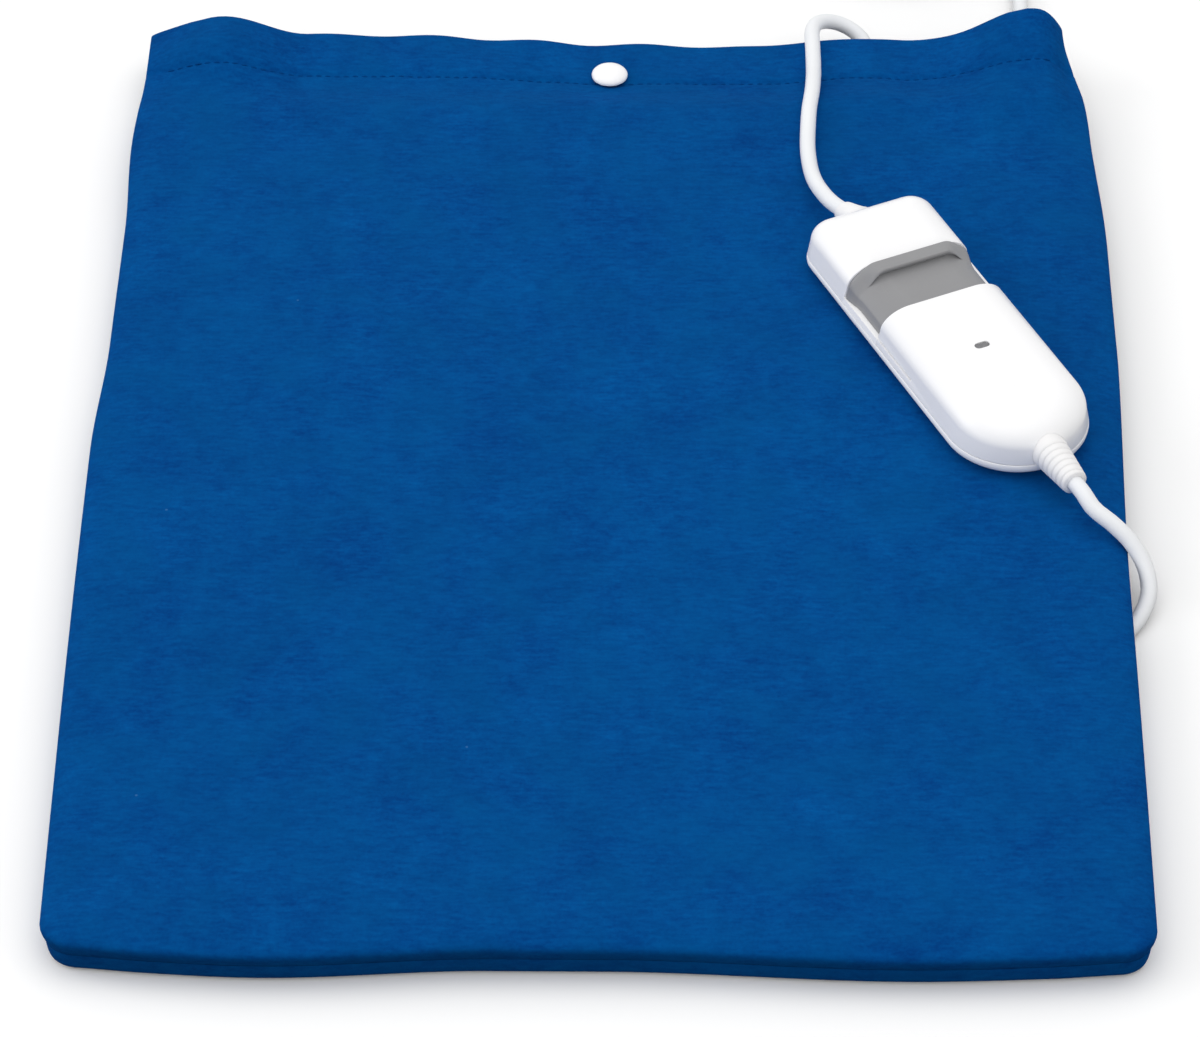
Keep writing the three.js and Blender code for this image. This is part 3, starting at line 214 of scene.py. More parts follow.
def cover_plan(x, y):
    """The sewn outline is not quite straight: it bellies out at the sides and along the near edge."""
    px, py = rounded_plan(x, y, half_width, -half_length, 10 * half_length, front_corner)
    belly = side_bulge * np.cos(np.pi * py / (2 * half_length))
    left = belly + 2.0 * smooth((50 - py) / 50) + 1.7 * hump((py - 150) / 45)
    right = belly + 3.2 * smooth((half_length - py) / 50) * smooth((py + 60) / 130)
    right += 1.2 * smooth((100 - py) / 60)
    right += 1.5 * hump((py - 105) / 55) - 2.6 * smooth((py - 172) / 30)
    near = 0.8 * smooth((146 - np.abs(px)) / 22) + 3.4 * hump((px + 92) / 62) + 3.4 * hump((px - 84) / 82)
    px = px + np.where(px > 0, right, -left) * (np.abs(px) / half_width) ** 8
    return px, py - near * np.clip(-py / half_length, 0, 1) ** 8


def hem_fall(y):
    return smooth((y - inner_end) / 17)


def left_wave(x):
    return 3.5 * smooth((-5 - x) / 50) + 8 * hump((x + 127) / 28)


def curl_above(x, y):
    fall = 1 - 0.5 * np.clip((x - 140) / 9, 0, 1) ** 2
    right = corner_curl * smooth((x - 95) / 44) * smooth((y - 148) / 58) * fall
    return right + left_wave(x) * smooth((y - inner_end) / 30)


def curl_below(x, y):
    right = corner_curl * smooth((x - 85) / 50) * (1 - 0.35 * smooth((x - 137) / 14))
    return 0.8 * (right + left_wave(x)) * smooth((y - inner_end) / 39.5)


def seam_at(x, y):
    return seam_height + 0.5 * (curl_above(x, y) + curl_below(x, y))


def over_cord(x, y):
    return 3 * hump((x - 84) / 36) * smooth((y - 160.5) / 17)


def prop(x, y):
    return prop_height * np.clip((x - 99) / 10, 0, 1) * np.clip((y + 97.6) / 14, 0, 1)


def ripple(x, y):
    wide = 0.5 * np.sin(x / 23 + 1.3) * np.sin(y / 31 + 0.4)
    return wide + 0.3 * np.sin(x / 11 - y / 17 + 0.7) + 0.2 * np.sin(x / 7.3 + y / 9.1)


# The edge of a panel from the sewn line to the flat, as distance in from the outline and share of the height.
# The upper panel bulges out over the seam; the lower one falls back from it to the table.
upper_roll = [(1.1, 0.0), (0.75, 0.12), (0.42, 0.24), (0.18, 0.36), (0.03, 0.47), (0.0, 0.55), (0.12, 0.63)]
upper_roll += [(0.5, 0.71), (1.3, 0.785), (2.4, 0.845), (3.7, 0.89), (5.2, 0.925), (6.8, 0.95), (8.6, 0.969)]
upper_roll += [(10.6, 0.984), (13.2, 0.995)]
lower_roll = [(1.1, 0.0), (1.15, 0.12), (1.2, 0.24), (1.3, 0.36), (1.4, 0.48), (1.5, 0.6), (1.65, 0.7)]
lower_roll += [(1.85, 0.79), (2.15, 0.87), (2.7, 0.93), (3.8, 0.96), (5.2, 0.975), (6.8, 0.985), (8.6, 0.992)]
lower_roll += [(10.6, 0.997), (13.2, 1.0)]
across_step, along_step = 2.4, 3.6


def hem_rows():
    """The hem's face, its rolled edge, and the turned-in layer back to the stitching."""
    rows = [(y, 1.0, 0.0) for y in np.linspace(hem_seam + 6.5, half_length - 2.2, 7)]
    bend, turn = hem_thick / 2, np.radians(np.linspace(0, 180, 9))
    rows += [(half_length - bend + bend * np.sin(a), 1.0, bend * (1 - np.cos(a))) for a in turn]
    return rows + [(y, 1.0, hem_thick) for y in np.linspace(half_length - 5, hem_seam + 0.8, 6)]


def cover_lines(edge_roll):
    """Grid lines of a panel: (place, share of height) across; (place, share, depth below the face) along."""
    inside = half_width - flat_from
    middle = [(x, 1.0) for x in np.linspace(-inside, inside, round(2 * inside / across_step))]
    left = [(d - half_width, share) for d, share in edge_roll]
    right = [(half_width - d, share) for d, share in reversed(edge_roll)]
    start, end = flat_from - half_length, hem_seam - 4
    rows = [(d - half_length, share, 0.0) for d, share in edge_roll]
    rows += [(y, 1.0, 0.0) for y in np.linspace(start, end, round((end - start) / along_step))]
    rows += [(hem_seam + dy, 1.0, 0.0) for dy in (-2.4, -1.3, -0.6, 0, 0.6, 1.3, 2.4, 4)]
    return left + middle + right, rows + hem_rows()


def grid_mesh(px, py, pz, flipped):
    """Points and quads of a sheet over a grid of places."""
    (rows, columns), faces = px.shape, []
    for start in range(0, (rows - 1) * columns, columns):
        for a in range(start, start + columns - 1):
            quad = (a, a + 1, a + columns + 1, a + columns)
            faces.append(quad[::-1] if flipped else quad)
    return np.stack([px.ravel(), py.ravel(), pz.ravel()], axis=1), faces


def build(name, points, faces, material, crease=None):
    """A smooth-shaded piece from points in millimetres."""
    mesh = bpy.data.meshes.new(name)
    mesh.from_pydata((np.asarray(points, float) * mm).tolist(), [], faces)
    mesh.validate()
    mesh.polygons.foreach_set("use_smooth", [True] * len(mesh.polygons))
    mesh.materials.append(material)
    piece = bpy.data.objects.new(name, mesh)
    scene.collection.objects.link(piece)
    if crease:
        mesh.set_sharp_from_angle(angle=math.radians(crease))
    return piece


def knit_finish():
    sheen = {"Sheen Weight": 0.015, "Sheen Roughness": 0.6, "Sheen Tint": (0.1, 0.45, 0.9, 1)}
    made, shade, surface = finish("blue_fleece_knit", {"Specular IOR Level": 0.025, **sheen})
    place = shade.place()
    courses = shade.noise(place.stretched((0.22, 0.75, 0.6)), 1.0, 3.0)
    nap = shade.noise(place, 0.9, 4.0, 0.65)
    mottle = shade.noise(place, 0.11, 3.0, 0.6)
    cloud = shade.noise(place, 0.035, 3.0, 0.55)
    tone = (courses - 0.5) * 0.95 + (nap - 0.5) * 0.85 + (mottle - 0.5) * 0.65 + (cloud - 0.5) * 0.65 + 0.5
    colour = tone.blended((0.0002, 0.034, 0.177, 1), (0.0006, 0.091, 0.324, 1))
    hue = shade.noise(place.stretched((1, 1, -1)), 0.05, 2.0)
    colour = ((hue - 0.35) * 1.2).blended(colour, (0.0002, 0.073, 0.245, 1))
    cells = {"Vector": place, "Scale": 0.055, "Randomness": 1.0}
    lint, pick = (shade.node("TexVoronoi", {}, cells, output) for output in (0, 1))
    chance = shade.node("SeparateColor", {}, {0: pick})
    specks = (lint < 0.022) * (chance > 0.72) * 0.2
    specks.blended(colour, (0.12, 0.3, 0.55, 1)).into(surface["Base Color"])
    (nap * 0.12 + 0.86).into(surface["Roughness"])
    shade.bump(courses * 0.5 + nap * 0.5 + mottle * 0.6, 0.3, 0.0005).into(surface["Normal"])
    return made


knit = knit_finish()


def cover_panel(edge_roll, height, flipped):
    """A panel's points and faces, where height(x, y, grid_x, grid_y, share, depth) gives z over its plan."""
    (xs, shares_x), (ys, shares_y, depths) = (zip(*lines) for lines in cover_lines(edge_roll))
    gx, gy = np.meshgrid(xs, ys)
    share_x, share_y = np.meshgrid(shares_x, shares_y)
    in_x, in_y = half_width - np.abs(gx), half_length + gy
    inner = np.maximum(in_x, in_y)
    gx = np.sign(gx) * (half_width - np.where(share_y < share_x, inner, in_x))
    gy = np.where(share_x < share_y, inner, in_y) - half_length
    share = np.minimum(share_x, share_y)
    depth = np.meshgrid(xs, depths)[1]
    px, py = cover_plan(gx, gy)
    return grid_mesh(px, py, height(px, py, gx, gy, share, depth), flipped)


def stitched_dip(x, y):
    pucker = 0.5 * np.sin(x / 2.1) + 0.5 * np.sin(x / 4.7 + 0.8)
    line = np.exp(-(((y - hem_seam) / 1.1) ** 2))
    return 0.75 * line + 0.2 * pucker * np.exp(-(((y - hem_seam) / 5) ** 2))


def lower_height(x, y, grid_x, grid_y, share, depth):
    propped = prop(grid_x, grid_y)
    under = propped + hem_under * hem_fall(y) * (1 - propped / prop_height) + curl_below(x, y)
    seam = seam_at(x, y) - 0.05
    return seam + (under + depth - seam) * share


cover_lower = build("cover_lower", *cover_panel(lower_roll, lower_height, True), knit)
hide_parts("cover_lower_panel", "cover_lower_hem")
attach(cover_lower, "pad")


# Inner pad: two layers of needled white wadding with the heating wire laid between them in a serpentine. A
# cut-out and a crimp press their own hollows into the wadding. The wire ends in a moulded vinyl gland.
inner_half, inner_start, inner_corner, wadding_edge = 134.0, -189.0, 20.0, 6.5


def pressed(x, y, node):
    """1 over a small part that sinks into the wadding, falling to 0 round it."""
    low, high = (np.array(corner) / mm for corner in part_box(node))
    away = np.hypot(*(np.maximum(np.maximum(a - v, v - b), 0) for v, a, b in zip((x, y), low, high)))
    return 1 - smooth(away / 3)


def welded(points, faces):
    """Joins points that lie on each other."""
    spots, index = np.unique(np.round(points, 4), axis=0, return_inverse=True)
    index = index.ravel()
    return spots, [tuple(int(index[i]) for i in face) for face in faces]


def joined(*meshes):
    points, faces, base = [], [], 0
    for some, theirs in meshes:
        points.append(some)
        faces += [tuple(i + base for i in face) for face in theirs]
        base += len(some)
    return np.vstack(points), faces


def wadding_mesh(low, high, propped, hollow_side, hollow_depth):
    """A closed slab between two levels, thinning to its edge, hollowed in the face that the wire lies on."""
    edge = [0, 0.3, 1.0, 2.2, 4.0, wadding_edge]

    def line(start, end):
        middle = np.linspace(start + 10, end - 10, round((end - start - 20) / 6))
        return np.concatenate([[start + d for d in edge], middle, [end - d for d in edge[::-1]]])

    gx, gy = np.meshgrid(line(-inner_half, inner_half), line(inner_start, inner_end))
    inside = np.minimum(inner_half - np.abs(gx), np.minimum(gy - inner_start, inner_end - gy))
    share = np.sqrt(1 - (1 - np.clip(inside / wadding_edge, 0, 1)) ** 2)
    px, py = rounded_plan(gx, gy, inner_half, inner_start, inner_end, inner_corner)
    low = low + propped * prop(gx, gy)
    middle, half = (low + high) / 2, (high - low) / 2
    felted = 0.15 * ripple(px * 1.7, py * 1.7) - 0.15
    hollows = sum(pressed(px, py, node) for node in ("thermal_cutout", "wire_crimp"))
    layers = []
    for side, flipped in ((-1, True), (1, False)):
        pz = middle + side * share * (half + felted - hollow_depth * (side == hollow_side) * hollows)
        layers.append(grid_mesh(px, py, pz, flipped))
    return welded(*joined(*layers))


def felt_finish():
    made, shade, surface = finish("white_needled_wadding")
    place = shade.place()
    fibres = shade.noise(place.stretched((0.5, 2.2, 1.0)), 1.1, 5.0)
    tufts = shade.node("TexVoronoi", {}, {"Vector": place, "Scale": 0.22})
    tone = fibres * 0.6 + tufts * 0.5
    tone.blended((0.62, 0.6, 0.54, 1), (0.86, 0.84, 0.78, 1)).into(surface["Base Color"])
    (fibres * 0.1 + 0.85).into(surface["Roughness"])
    shade.bump(tone, 0.6, 0.0008).into(surface["Normal"])
    return made


felt = felt_finish()
for name, *form in (("lower_wadding", 1.5, 8.0, 1, 1, 1.6), ("upper_wadding", 10.6, 12.4, 0, -1, 0.7)):
    layer = build(f"soft_{name}", *wadding_mesh(*form), felt)
    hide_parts(name)
    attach(layer, "pad")


def plastic_finish(name, colour, tint, roughness):
    made, shade, surface = finish(name)
    place = shade.place()
    cloud = shade.noise(place, 0.05, 2.0)
    mould = shade.noise(place, 3.2, 2.0, 0.6)
    dust = shade.noise(place, 0.8, 5.0, 0.75)
    (cloud * 0.6 + dust * 0.4).blended(colour, tint).into(surface["Base Color"])
    (dust * 0.16 + mould * 0.06 + (roughness - 0.1)).into(surface["Roughness"])
    shade.bump(mould, 0.08, 0.00008).into(surface["Normal"])
    return made


def vinyl_finish(name, colour, shadow, roughness):
    made, shade, surface = finish(name, {"Specular IOR Level": 0.4})
    place = shade.place()
    cloud, fine = shade.noise(place, 0.06, 3.0), shade.noise(place, 2.2, 2.0)
    (cloud * 0.7 + fine * 0.3).blended(shadow, colour).into(surface["Base Color"])
    (fine * 0.14 + cloud * 0.1 + (roughness - 0.12)).into(surface["Roughness"])
    shade.bump(fine, 0.12, 0.0001).into(surface["Normal"])
    return made


def metal_finish(name, colour, tarnish, roughness):
    made, shade, surface = finish(name, {"Metallic": 1.0})
    place = shade.place()
    drawn = shade.noise(place.stretched((0.3, 4.0, 4.0)), 1.5, 3.0)
    stain = shade.noise(place, 0.5, 4.0)
    (stain * 0.6 + drawn * 0.3).blended(colour, tarnish).into(surface["Base Color"])
    (drawn * 0.2 + stain * 0.15 + (roughness - 0.15)).into(surface["Roughness"])
    shade.bump(drawn, 0.1, 0.00005).into(surface["Normal"])
    return made


def coat(material, *names):
    for name in names:
        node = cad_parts[name]
        node.data.materials.clear()
        node.data.materials.append(material)


cord_vinyl = vinyl_finish("white_cord_vinyl", (0.9, 0.915, 0.93, 1), (0.82, 0.835, 0.86, 1), 0.42)
brass = metal_finish("pressed_brass", (0.78, 0.56, 0.24, 1), (0.5, 0.34, 0.14, 1), 0.35)
brown_wire = vinyl_finish("brown_wire_vinyl", (0.2, 0.075, 0.03, 1), (0.13, 0.05, 0.02, 1), 0.45)
blue_wire = vinyl_finish("blue_wire_vinyl", (0.03, 0.16, 0.5, 1), (0.02, 0.1, 0.36, 1), 0.45)
dark_plastic = plastic_finish("dark_moulded_plastic", (0.025, 0.025, 0.028, 1), (0.05, 0.05, 0.052, 1), 0.5)
coat(vinyl_finish("wire_silicone", (0.05, 0.047, 0.045, 1), (0.03, 0.028, 0.027, 1), 0.55), "heating_wire")
coat(dark_plastic, "thermal_cutout")
coat(brass, "wire_crimp")
coat(brown_wire, "pad_lead_live")
coat(blue_wire, "pad_lead_neutral")
coat(cord_vinyl, "pad_gland")


# Upper panel of the cover: the same knit over the top of the pad, falling to the doubled hem at the mouth.
def upper_height(x, y, grid_x, grid_y, share, depth):
    top = pad_top + (hem_top - pad_top) * hem_fall(y) + curl_above(x, y) + over_cord(x, y)
    top -= 0.3 * (1 + ripple(x, y)) * smooth((inner_end - y) / 20)
    loose = smooth((y - hem_seam) / (half_length - hem_seam))
    top += (0.8 * np.sin(x / 8.5 + 0.6) * np.sin(x / 23) + 0.35 * np.sin(x / 5.1) + 0.3) * loose
    top -= 0.6 * np.exp(-((x / 9) ** 2 + ((y - snap_y) / 9) ** 2))
    top -= stitched_dip(x, y) * (depth < 0.1)
    seam = seam_at(x, y) + 0.05
    return seam + (top - depth - seam) * share


cover_upper = build("cover_upper", *cover_panel(upper_roll, upper_height, False), knit)
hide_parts("cover_upper_panel", "cover_upper_hem")
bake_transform(cover_upper)


# Hem stitching: one row of lockstitch in blue thread along each hem, three millimetres to the stitch, drawn
# down into the knit. The upper row shows on top and lifts with the mouth; the lower one lies underneath.
def ring_faces(rings, sides, closed=False):
    """Quads between rings of points, with a face over both ends unless the last ring meets the first."""
    faces = []
    for i in range(rings if closed else rings - 1):
        a, b = i * sides, (i + 1) % rings * sides
        faces += [(a + k, a + (k + 1) % sides, b + (k + 1) % sides, b + k) for k in range(sides)]
    if not closed:
        faces += [tuple(range(sides))[::-1], tuple((rings - 1) * sides + k for k in range(sides))]
    return faces


def tube_mesh(line, radii, sides):
    """Points and faces of a round tube along a line, capped at both ends."""
    ahead = np.gradient(line, axis=0)
    ahead /= np.linalg.norm(ahead, axis=1)[:, None]
    side = np.cross(ahead[0], (0.3, 0.2, 1))
    angles = np.linspace(0, 2 * np.pi, sides, endpoint=False)
    points = []
    for place, forward, radius in zip(line, ahead, np.broadcast_to(radii, len(line))):
        side = side - forward * np.dot(side, forward)
        side /= np.linalg.norm(side)
        up = np.cross(forward, side)
        points.append(place + radius * (np.cos(angles)[:, None] * side + np.sin(angles)[:, None] * up))
    return np.vstack(points), ring_faces(len(line), sides)


stitch_pitch, stitch_length, thread_radius = 3.0, 2.3, 0.3
thread = vinyl_finish("blue_thread", (0.0004, 0.06, 0.24, 1), (0.0002, 0.045, 0.19, 1), 0.85)
thread.node_tree.nodes["Principled BSDF"].inputs["Specular IOR Level"].default_value = 0.03
for name, height, side, body in (
    ("hem_stitches_upper", upper_height, 1, "mouth"),
    ("hem_stitches_lower", lower_height, -1, "pad"),
):
    stitches = []
    for x in np.arange(8 - half_width, half_width - 7, stitch_pitch):
        across = x + stitch_length * np.linspace(-0.5, 0.5, 5)
        level = np.full(5, hem_seam)
        bow = side * np.array([-0.3, 0.0, 0.12, 0.0, -0.3])
        rise = height(across, level, across, level, np.ones(5), np.zeros(5)) + bow
        line = np.stack([across, level, rise], axis=1)
        stitches.append(tube_mesh(line, thread_radius * np.array([0.6, 0.95, 1, 0.95, 0.6]), 8))
    row = build(name, *joined(*stitches), thread)
    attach(row, body)


# Snap fastener: four moulded white plastic pieces. The domed cap's post holds the socket under the upper hem,
# and the back cap's post holds the stud on the lower hem.
def turned(profile, sides, ring=True):
    """A body turned about the x axis from (radius, place) pairs: a ring, or else capped at both ends."""
    angles = np.linspace(0, 2 * np.pi, sides, endpoint=False)
    points = [(along, r * math.cos(a), r * math.sin(a)) for r, along in profile for a in angles]
    return np.array(points), ring_faces(len(profile), sides, ring)


white_plastic = plastic_finish("white_moulded_plastic", (0.965, 0.965, 0.97, 1), (0.94, 0.935, 0.945, 1), 0.3)
cap = [(1.3, 6.8), (1.3, 10.5), (5.6, 10.5), (5.85, 10.65), (5.9, 11.0), (5.75, 11.45), (5.3, 11.95)]
cap += [(4.5, 12.4), (3.5, 12.72), (2.5, 12.88), (2.2, 12.86), (1.9, 12.8), (1.2, 12.78), (0.4, 12.78)]
socket = [(3.0, 5.6), (5.2, 5.6), (5.4, 5.75), (5.4, 7.35), (5.2, 7.5), (1.6, 7.5), (1.6, 6.8), (3.0, 6.8)]
stud = [(1.6, 4.7), (5.25, 4.7), (5.4, 4.85), (5.4, 5.15), (5.25, 5.3), (2.75, 5.3), (2.5, 5.5), (2.7, 5.85)]
stud += [(2.5, 6.2), (1.6, 6.2)]
back_cap = [(0.4, 0.3), (4.2, 0.3), (5.3, 0.45), (5.95, 0.8), (6.15, 1.2), (6.1, 1.6), (5.9, 1.7), (1.3, 1.7)]
back_cap += [(1.3, 6.2)]
for name, profile, ring, body in (
    ("snap_cap", cap, False, "mouth"),
    ("snap_socket", socket, True, "mouth"),
    ("snap_stud", stud, True, "pad"),
    ("snap_back_cap", back_cap, False, "pad"),
):
    points, faces = turned(profile, 48, ring)
    points = points[:, [1, 2, 0]] + np.array([0, snap_y, 0])
    moulded = build(f"moulded_{name}", points, faces, white_plastic, crease=40)
    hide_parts(name)
    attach(moulded, body)


# Pad cord: round white vinyl lead of two cores, moulded into the pad's gland inside the mouth. It comes out
# under the upper hem, loops back over it and runs across the pad to the controller.
case_place = np.array([105.9, 43.1, 14.5])
case_turn = math.radians(-64.5)
case_along = np.array([math.cos(case_turn), math.sin(case_turn), 0])
case_across = np.array([-math.sin(case_turn), math.cos(case_turn), 0])
pad_axis, mains_axis = 8.0, 8.5
cord_diameter = 5.0


def from_case(along, height, across=0.0):
    return case_place + along * case_along + across * case_across + np.array([0, 0, height])


def pad_sway(along):
    """How far the soft relief at the pad end, and the cord in it, lean to the left of the case's axis."""
    out = np.maximum(-58.5 - along, 0)
    return -0.36 * out**2 / (out + 1.5)


def smooth_line(route, step):
    """Points about a step apart on a smooth curve through the route."""
    route = np.array(route, float)
    ends = np.vstack([2 * route[0] - route[1], route, 2 * route[-1] - route[-2]])
    fine = []
    for p0, p1, p2, p3 in zip(ends, ends[1:], ends[2:], ends[3:]):
        d0, d1, d2 = (max(np.linalg.norm(b - a) ** 0.5, 1e-4) for a, b in ((p0, p1), (p1, p2), (p2, p3)))
        t1 = d1 * ((p1 - p0) / d0 - (p2 - p0) / (d0 + d1) + (p2 - p1) / d1)
        t2 = d1 * ((p2 - p1) / d1 - (p3 - p1) / (d1 + d2) + (p3 - p2) / d2)
        t = np.linspace(0, 1, 24, endpoint=False)[:, None]
        weights = 2 * t**3 - 3 * t**2 + 1, t**3 - 2 * t**2 + t, 3 * t**2 - 2 * t**3, t**3 - t**2
        fine.append(sum(weight * value for weight, value in zip(weights, (p1, t1, p2, t2))))
    fine = np.vstack([*fine, route[-1:]])
    run = np.concatenate([[0], np.cumsum(np.linalg.norm(np.diff(fine, axis=0), axis=1))])
    places = np.linspace(0, run[-1], max(2, round(run[-1] / step)) + 1)
    return np.stack([np.interp(places, run, fine[:, k]) for k in range(3)], axis=1)


def laid_cord(name, route, step, sides):
    """A cord along a route, with the line through its middle and its length in metres."""
    line = smooth_line(route, step)
    piece = build(name, *tube_mesh(line, cord_diameter / 2, sides), cord_vinyl, crease=60)
    return piece, line, np.linalg.norm(np.diff(line, axis=0), axis=1).sum() * mm


pad_relief_tip = -67.8
loop_left, loop_right, loop_low, loop_high, loop_turn = 66.5, 84.5, 7.5, 14.56, 207.5
loop_radius = math.hypot(loop_right - loop_left, loop_high - loop_low) / 2
half_loop = []
for a in np.radians([180, 150, 120, 90, 60, 30, 0]):
    share = (1 - math.cos(a)) / 2
    x, z = loop_right + (loop_left - loop_right) * share, loop_low + (loop_high - loop_low) * share
    half_loop.append((x, loop_turn + loop_radius * math.sin(a), z))
pad_route = [
    *(from_case(along, pad_axis, pad_sway(along)) for along in (-57.8, -62, -66, -69)),
    *[(70.2, 108.2, 22), (67.6, 113.9, 21.2), (65.7, 120, 20.2), (64.5, 127, 18.9), (63.9, 134.5, 17.7)],
    *[(63.6, 142, 17.1), (63.8, 150.1, 17), (64.5, 162.1, 17.3), (65.2, 168, 17.3), (65.7, 172, 17.3)],
    *[(66.2, 179.5, 16.15), (loop_left, 186.5, loop_high), (loop_left, 199.5, loop_high)],
    *half_loop,
    *[(84, 199.5, loop_low), (84, 185.7, loop_low), (84, 179.1, loop_low)],
]
pad_cord, pad_line, pad_cord_length = laid_cord("pad_cord", pad_route, 2.0, 20)
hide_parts("pad_cord_run", "pad_cord_loop", "pad_cord_inner")
tuple(from_case(pad_relief_tip, pad_axis) * mm)
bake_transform(pad_cord)


# Controller shells: glossy white moulded plastic, a tray below and a cap above that meet in a fine parting
# line. The cap is full height at the pad end and steps down to a deck that carries the slider.
case_length, case_width, case_height = 123.6, 45.2, 17.0
case_corner, case_wall, deck_wall, parting, fit = 9.5, 2.0, 1.2, 5.0, 0.3
sill_top, sill_width = 6.9, 2.2
foot, foot_rise, lean, end_lean, shoulder, shoulder_rise = 6.0, 4.0, 1.6, 0.3, 10.0, 7.0
hood_wall, slider_wall = 1.4, 1.3
slider_inset = hood_wall + fit
deck_inset = slider_inset + slider_wall + fit
slider_x, slider_length, hood_x, lamp_x = -30.5, 27.0, -8.4, 17.7
deck_x = slider_x - fit


def arc(x, y, radius, start, sweep, steps):
    angles = np.radians(np.linspace(start, start + sweep, steps + 1))
    return np.stack([x + radius * np.cos(angles), y + radius * np.sin(angles)], axis=1)


def case_outline(inset, leaning):
    long = case_length / 2 - inset - leaning * end_lean
    wide = case_width / 2 - inset - leaning
    corner = max(case_corner - inset - leaning, 1)
    right = arc(corner - long, corner - wide, corner, 180, 90, 12)
    left = arc(corner - long, wide - corner, corner, 90, 90, 12)
    return np.vstack([right, arc(long - wide, 0, wide, -90, 180, 48), left])


def case_level(inset, height):
    return inset + height * (1 - 2 * inset / case_height)


quarter = np.radians(np.linspace(0, 90, 8))
foot_arc = [(foot * (1 - math.sin(a)), 0, foot_rise * (1 - math.cos(a))) for a in quarter]
shoulder_arc, facet_arc = (
    [
        (shoulder * (1 - math.cos(a) ** bend), lean, case_height - shoulder_rise * (1 - math.sin(a) ** bend))
        for a in np.radians(np.linspace(0, 90, 22))
    ]
    for bend in (1, 1.5)
)
crown_rings = [(step, lean, case_height) for step in (10.6, 12, 14, 16)]
case_section = foot_arc + shoulder_arc + crown_rings
deck_section = foot_arc + facet_arc + crown_rings


def stacked(*rings):
    """A closed bmesh through rings of points."""
    made = bmesh.new()
    verts = [made.verts.new(point) for ring in rings for point in ring]
    for face in ring_faces(len(rings), len(rings[0])):
        made.faces.new([verts[i] for i in face])
    return made


def case_skin(inset, section=case_section):
    """The closed outer form of the case at an inset, as a bmesh in the controller's own axes."""
    rings = []
    for step, leaning, height in section:
        level = case_level(inset, height)
        rings.append([(x, y, level) for x, y in case_outline(inset + step, leaning)])
    skin = stacked(*rings)
    bmesh.ops.remove_doubles(skin, verts=skin.verts, dist=1e-4)
    return skin


def trim(skin, *planes):
    """Cuts the skin open: what lies beyond each (point, outward direction) is taken off."""
    for point, outward in planes:
        everything = skin.verts[:] + skin.edges[:] + skin.faces[:]
        bmesh.ops.bisect_plane(skin, geom=everything, plane_co=point, plane_no=outward, clear_outer=True)
    return skin


def scratch(name, skin):
    mesh = bpy.data.meshes.new(name)
    skin.to_mesh(mesh)
    skin.free()
    made = bpy.data.objects.new(name, mesh)
    scene.collection.objects.link(made)
    return made


def box_cutter(low, high):
    (x0, y0, z0), (x1, y1, z1) = low, high
    return prism_cutter([(x0, y0), (x1, y0), (x1, y1), (x0, y1)], z0, z1)


def prism_cutter(outline, low, high):
    return scratch("cutter", stacked(*([(x, y, z) for x, y in outline] for z in (low, high))))


def rod_cutter(radius, start, end):
    tool = bmesh.new()
    start, end = Vector(start), Vector(end)
    turn = (end - start).to_track_quat("Z", "Y").to_matrix().to_4x4()
    size = {"radius1": radius, "radius2": radius, "depth": (end - start).length}
    place = Matrix.Translation((start + end) / 2) @ turn
    bmesh.ops.create_cone(tool, cap_ends=True, segments=40, matrix=place, **size)
    return scratch("cutter", tool)


def baked(blank, wall=0.0, cutters=(), edge=0.0):
    """Gives a trimmed skin its wall, holes and softened edges, and returns the resulting points and faces."""
    if wall:
        thick = blank.modifiers.new("wall", "SOLIDIFY")
        thick.thickness, thick.offset, thick.use_even_offset = wall, -1, True
    if edge:
        soft = blank.modifiers.new("edge", "BEVEL")
        soft.width, soft.segments = edge, 3
        soft.limit_method, soft.angle_limit = "ANGLE", math.radians(38)
        soft.use_clamp_overlap = True
    for cutter in cutters:
        hole = blank.modifiers.new("hole", "BOOLEAN")
        hole.operation, hole.object, hole.solver = "DIFFERENCE", cutter, "EXACT"
    graph = bpy.context.evaluated_depsgraph_get()
    done = bpy.data.meshes.new_from_object(blank.evaluated_get(graph))
    points = np.array([v.co for v in done.vertices])
    faces = [tuple(p.vertices) for p in done.polygons]
    bpy.data.meshes.remove(done)
    for spare in (blank, *cutters):
        bpy.data.objects.remove(spare)
    return points, faces


def in_case(points):
    points = np.asarray(points, float)
    x, y, z = points[:, :1], points[:, 1:2], points[:, 2:]
    return case_place + x * case_along + y * case_across + z * np.array([0, 0, 1])


screw_places = [(x, side * 9.5) for x in (-44.8, 41.8) for side in (-1, 1)]
mains_relief_radius, pad_relief_radius, relief_gap = 5.6, 4.6, 0.06
relief_holes = [
    (pad_relief_radius + relief_gap, (-66, 0, pad_axis), (-54, 0, pad_axis)),
    (mains_relief_radius + relief_gap, (50, 0, mains_axis), (66, 0, mains_axis)),
]
screw_holes = [(1.7, (x, y, -1), (x, y, 4)) for x, y in screw_places]
screw_holes += [(2.9, (x, y, -1), (x, y, 2.1)) for x, y in screw_places]
tray = scratch("tray", trim(case_skin(0), ((0, 0, parting), (0, 0, 1))))
tray_mesh = baked(tray, case_wall, [rod_cutter(*hole) for hole in relief_holes + screw_holes], 0.2)
case_lower = build("case_lower", in_case(tray_mesh[0]), tray_mesh[1], white_plastic, crease=35)
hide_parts("case_lower_shell")
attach(case_lower, "pad")

above_parting = ((0, 0, parting + fit / 2), (0, 0, -1))
cap_end = scratch("cap_end", trim(case_skin(0), above_parting, ((deck_x, 0, 0), (1, 0, 0))))
cap_mesh = baked(cap_end, case_wall, [rod_cutter(*relief_holes[0])], 0.2)


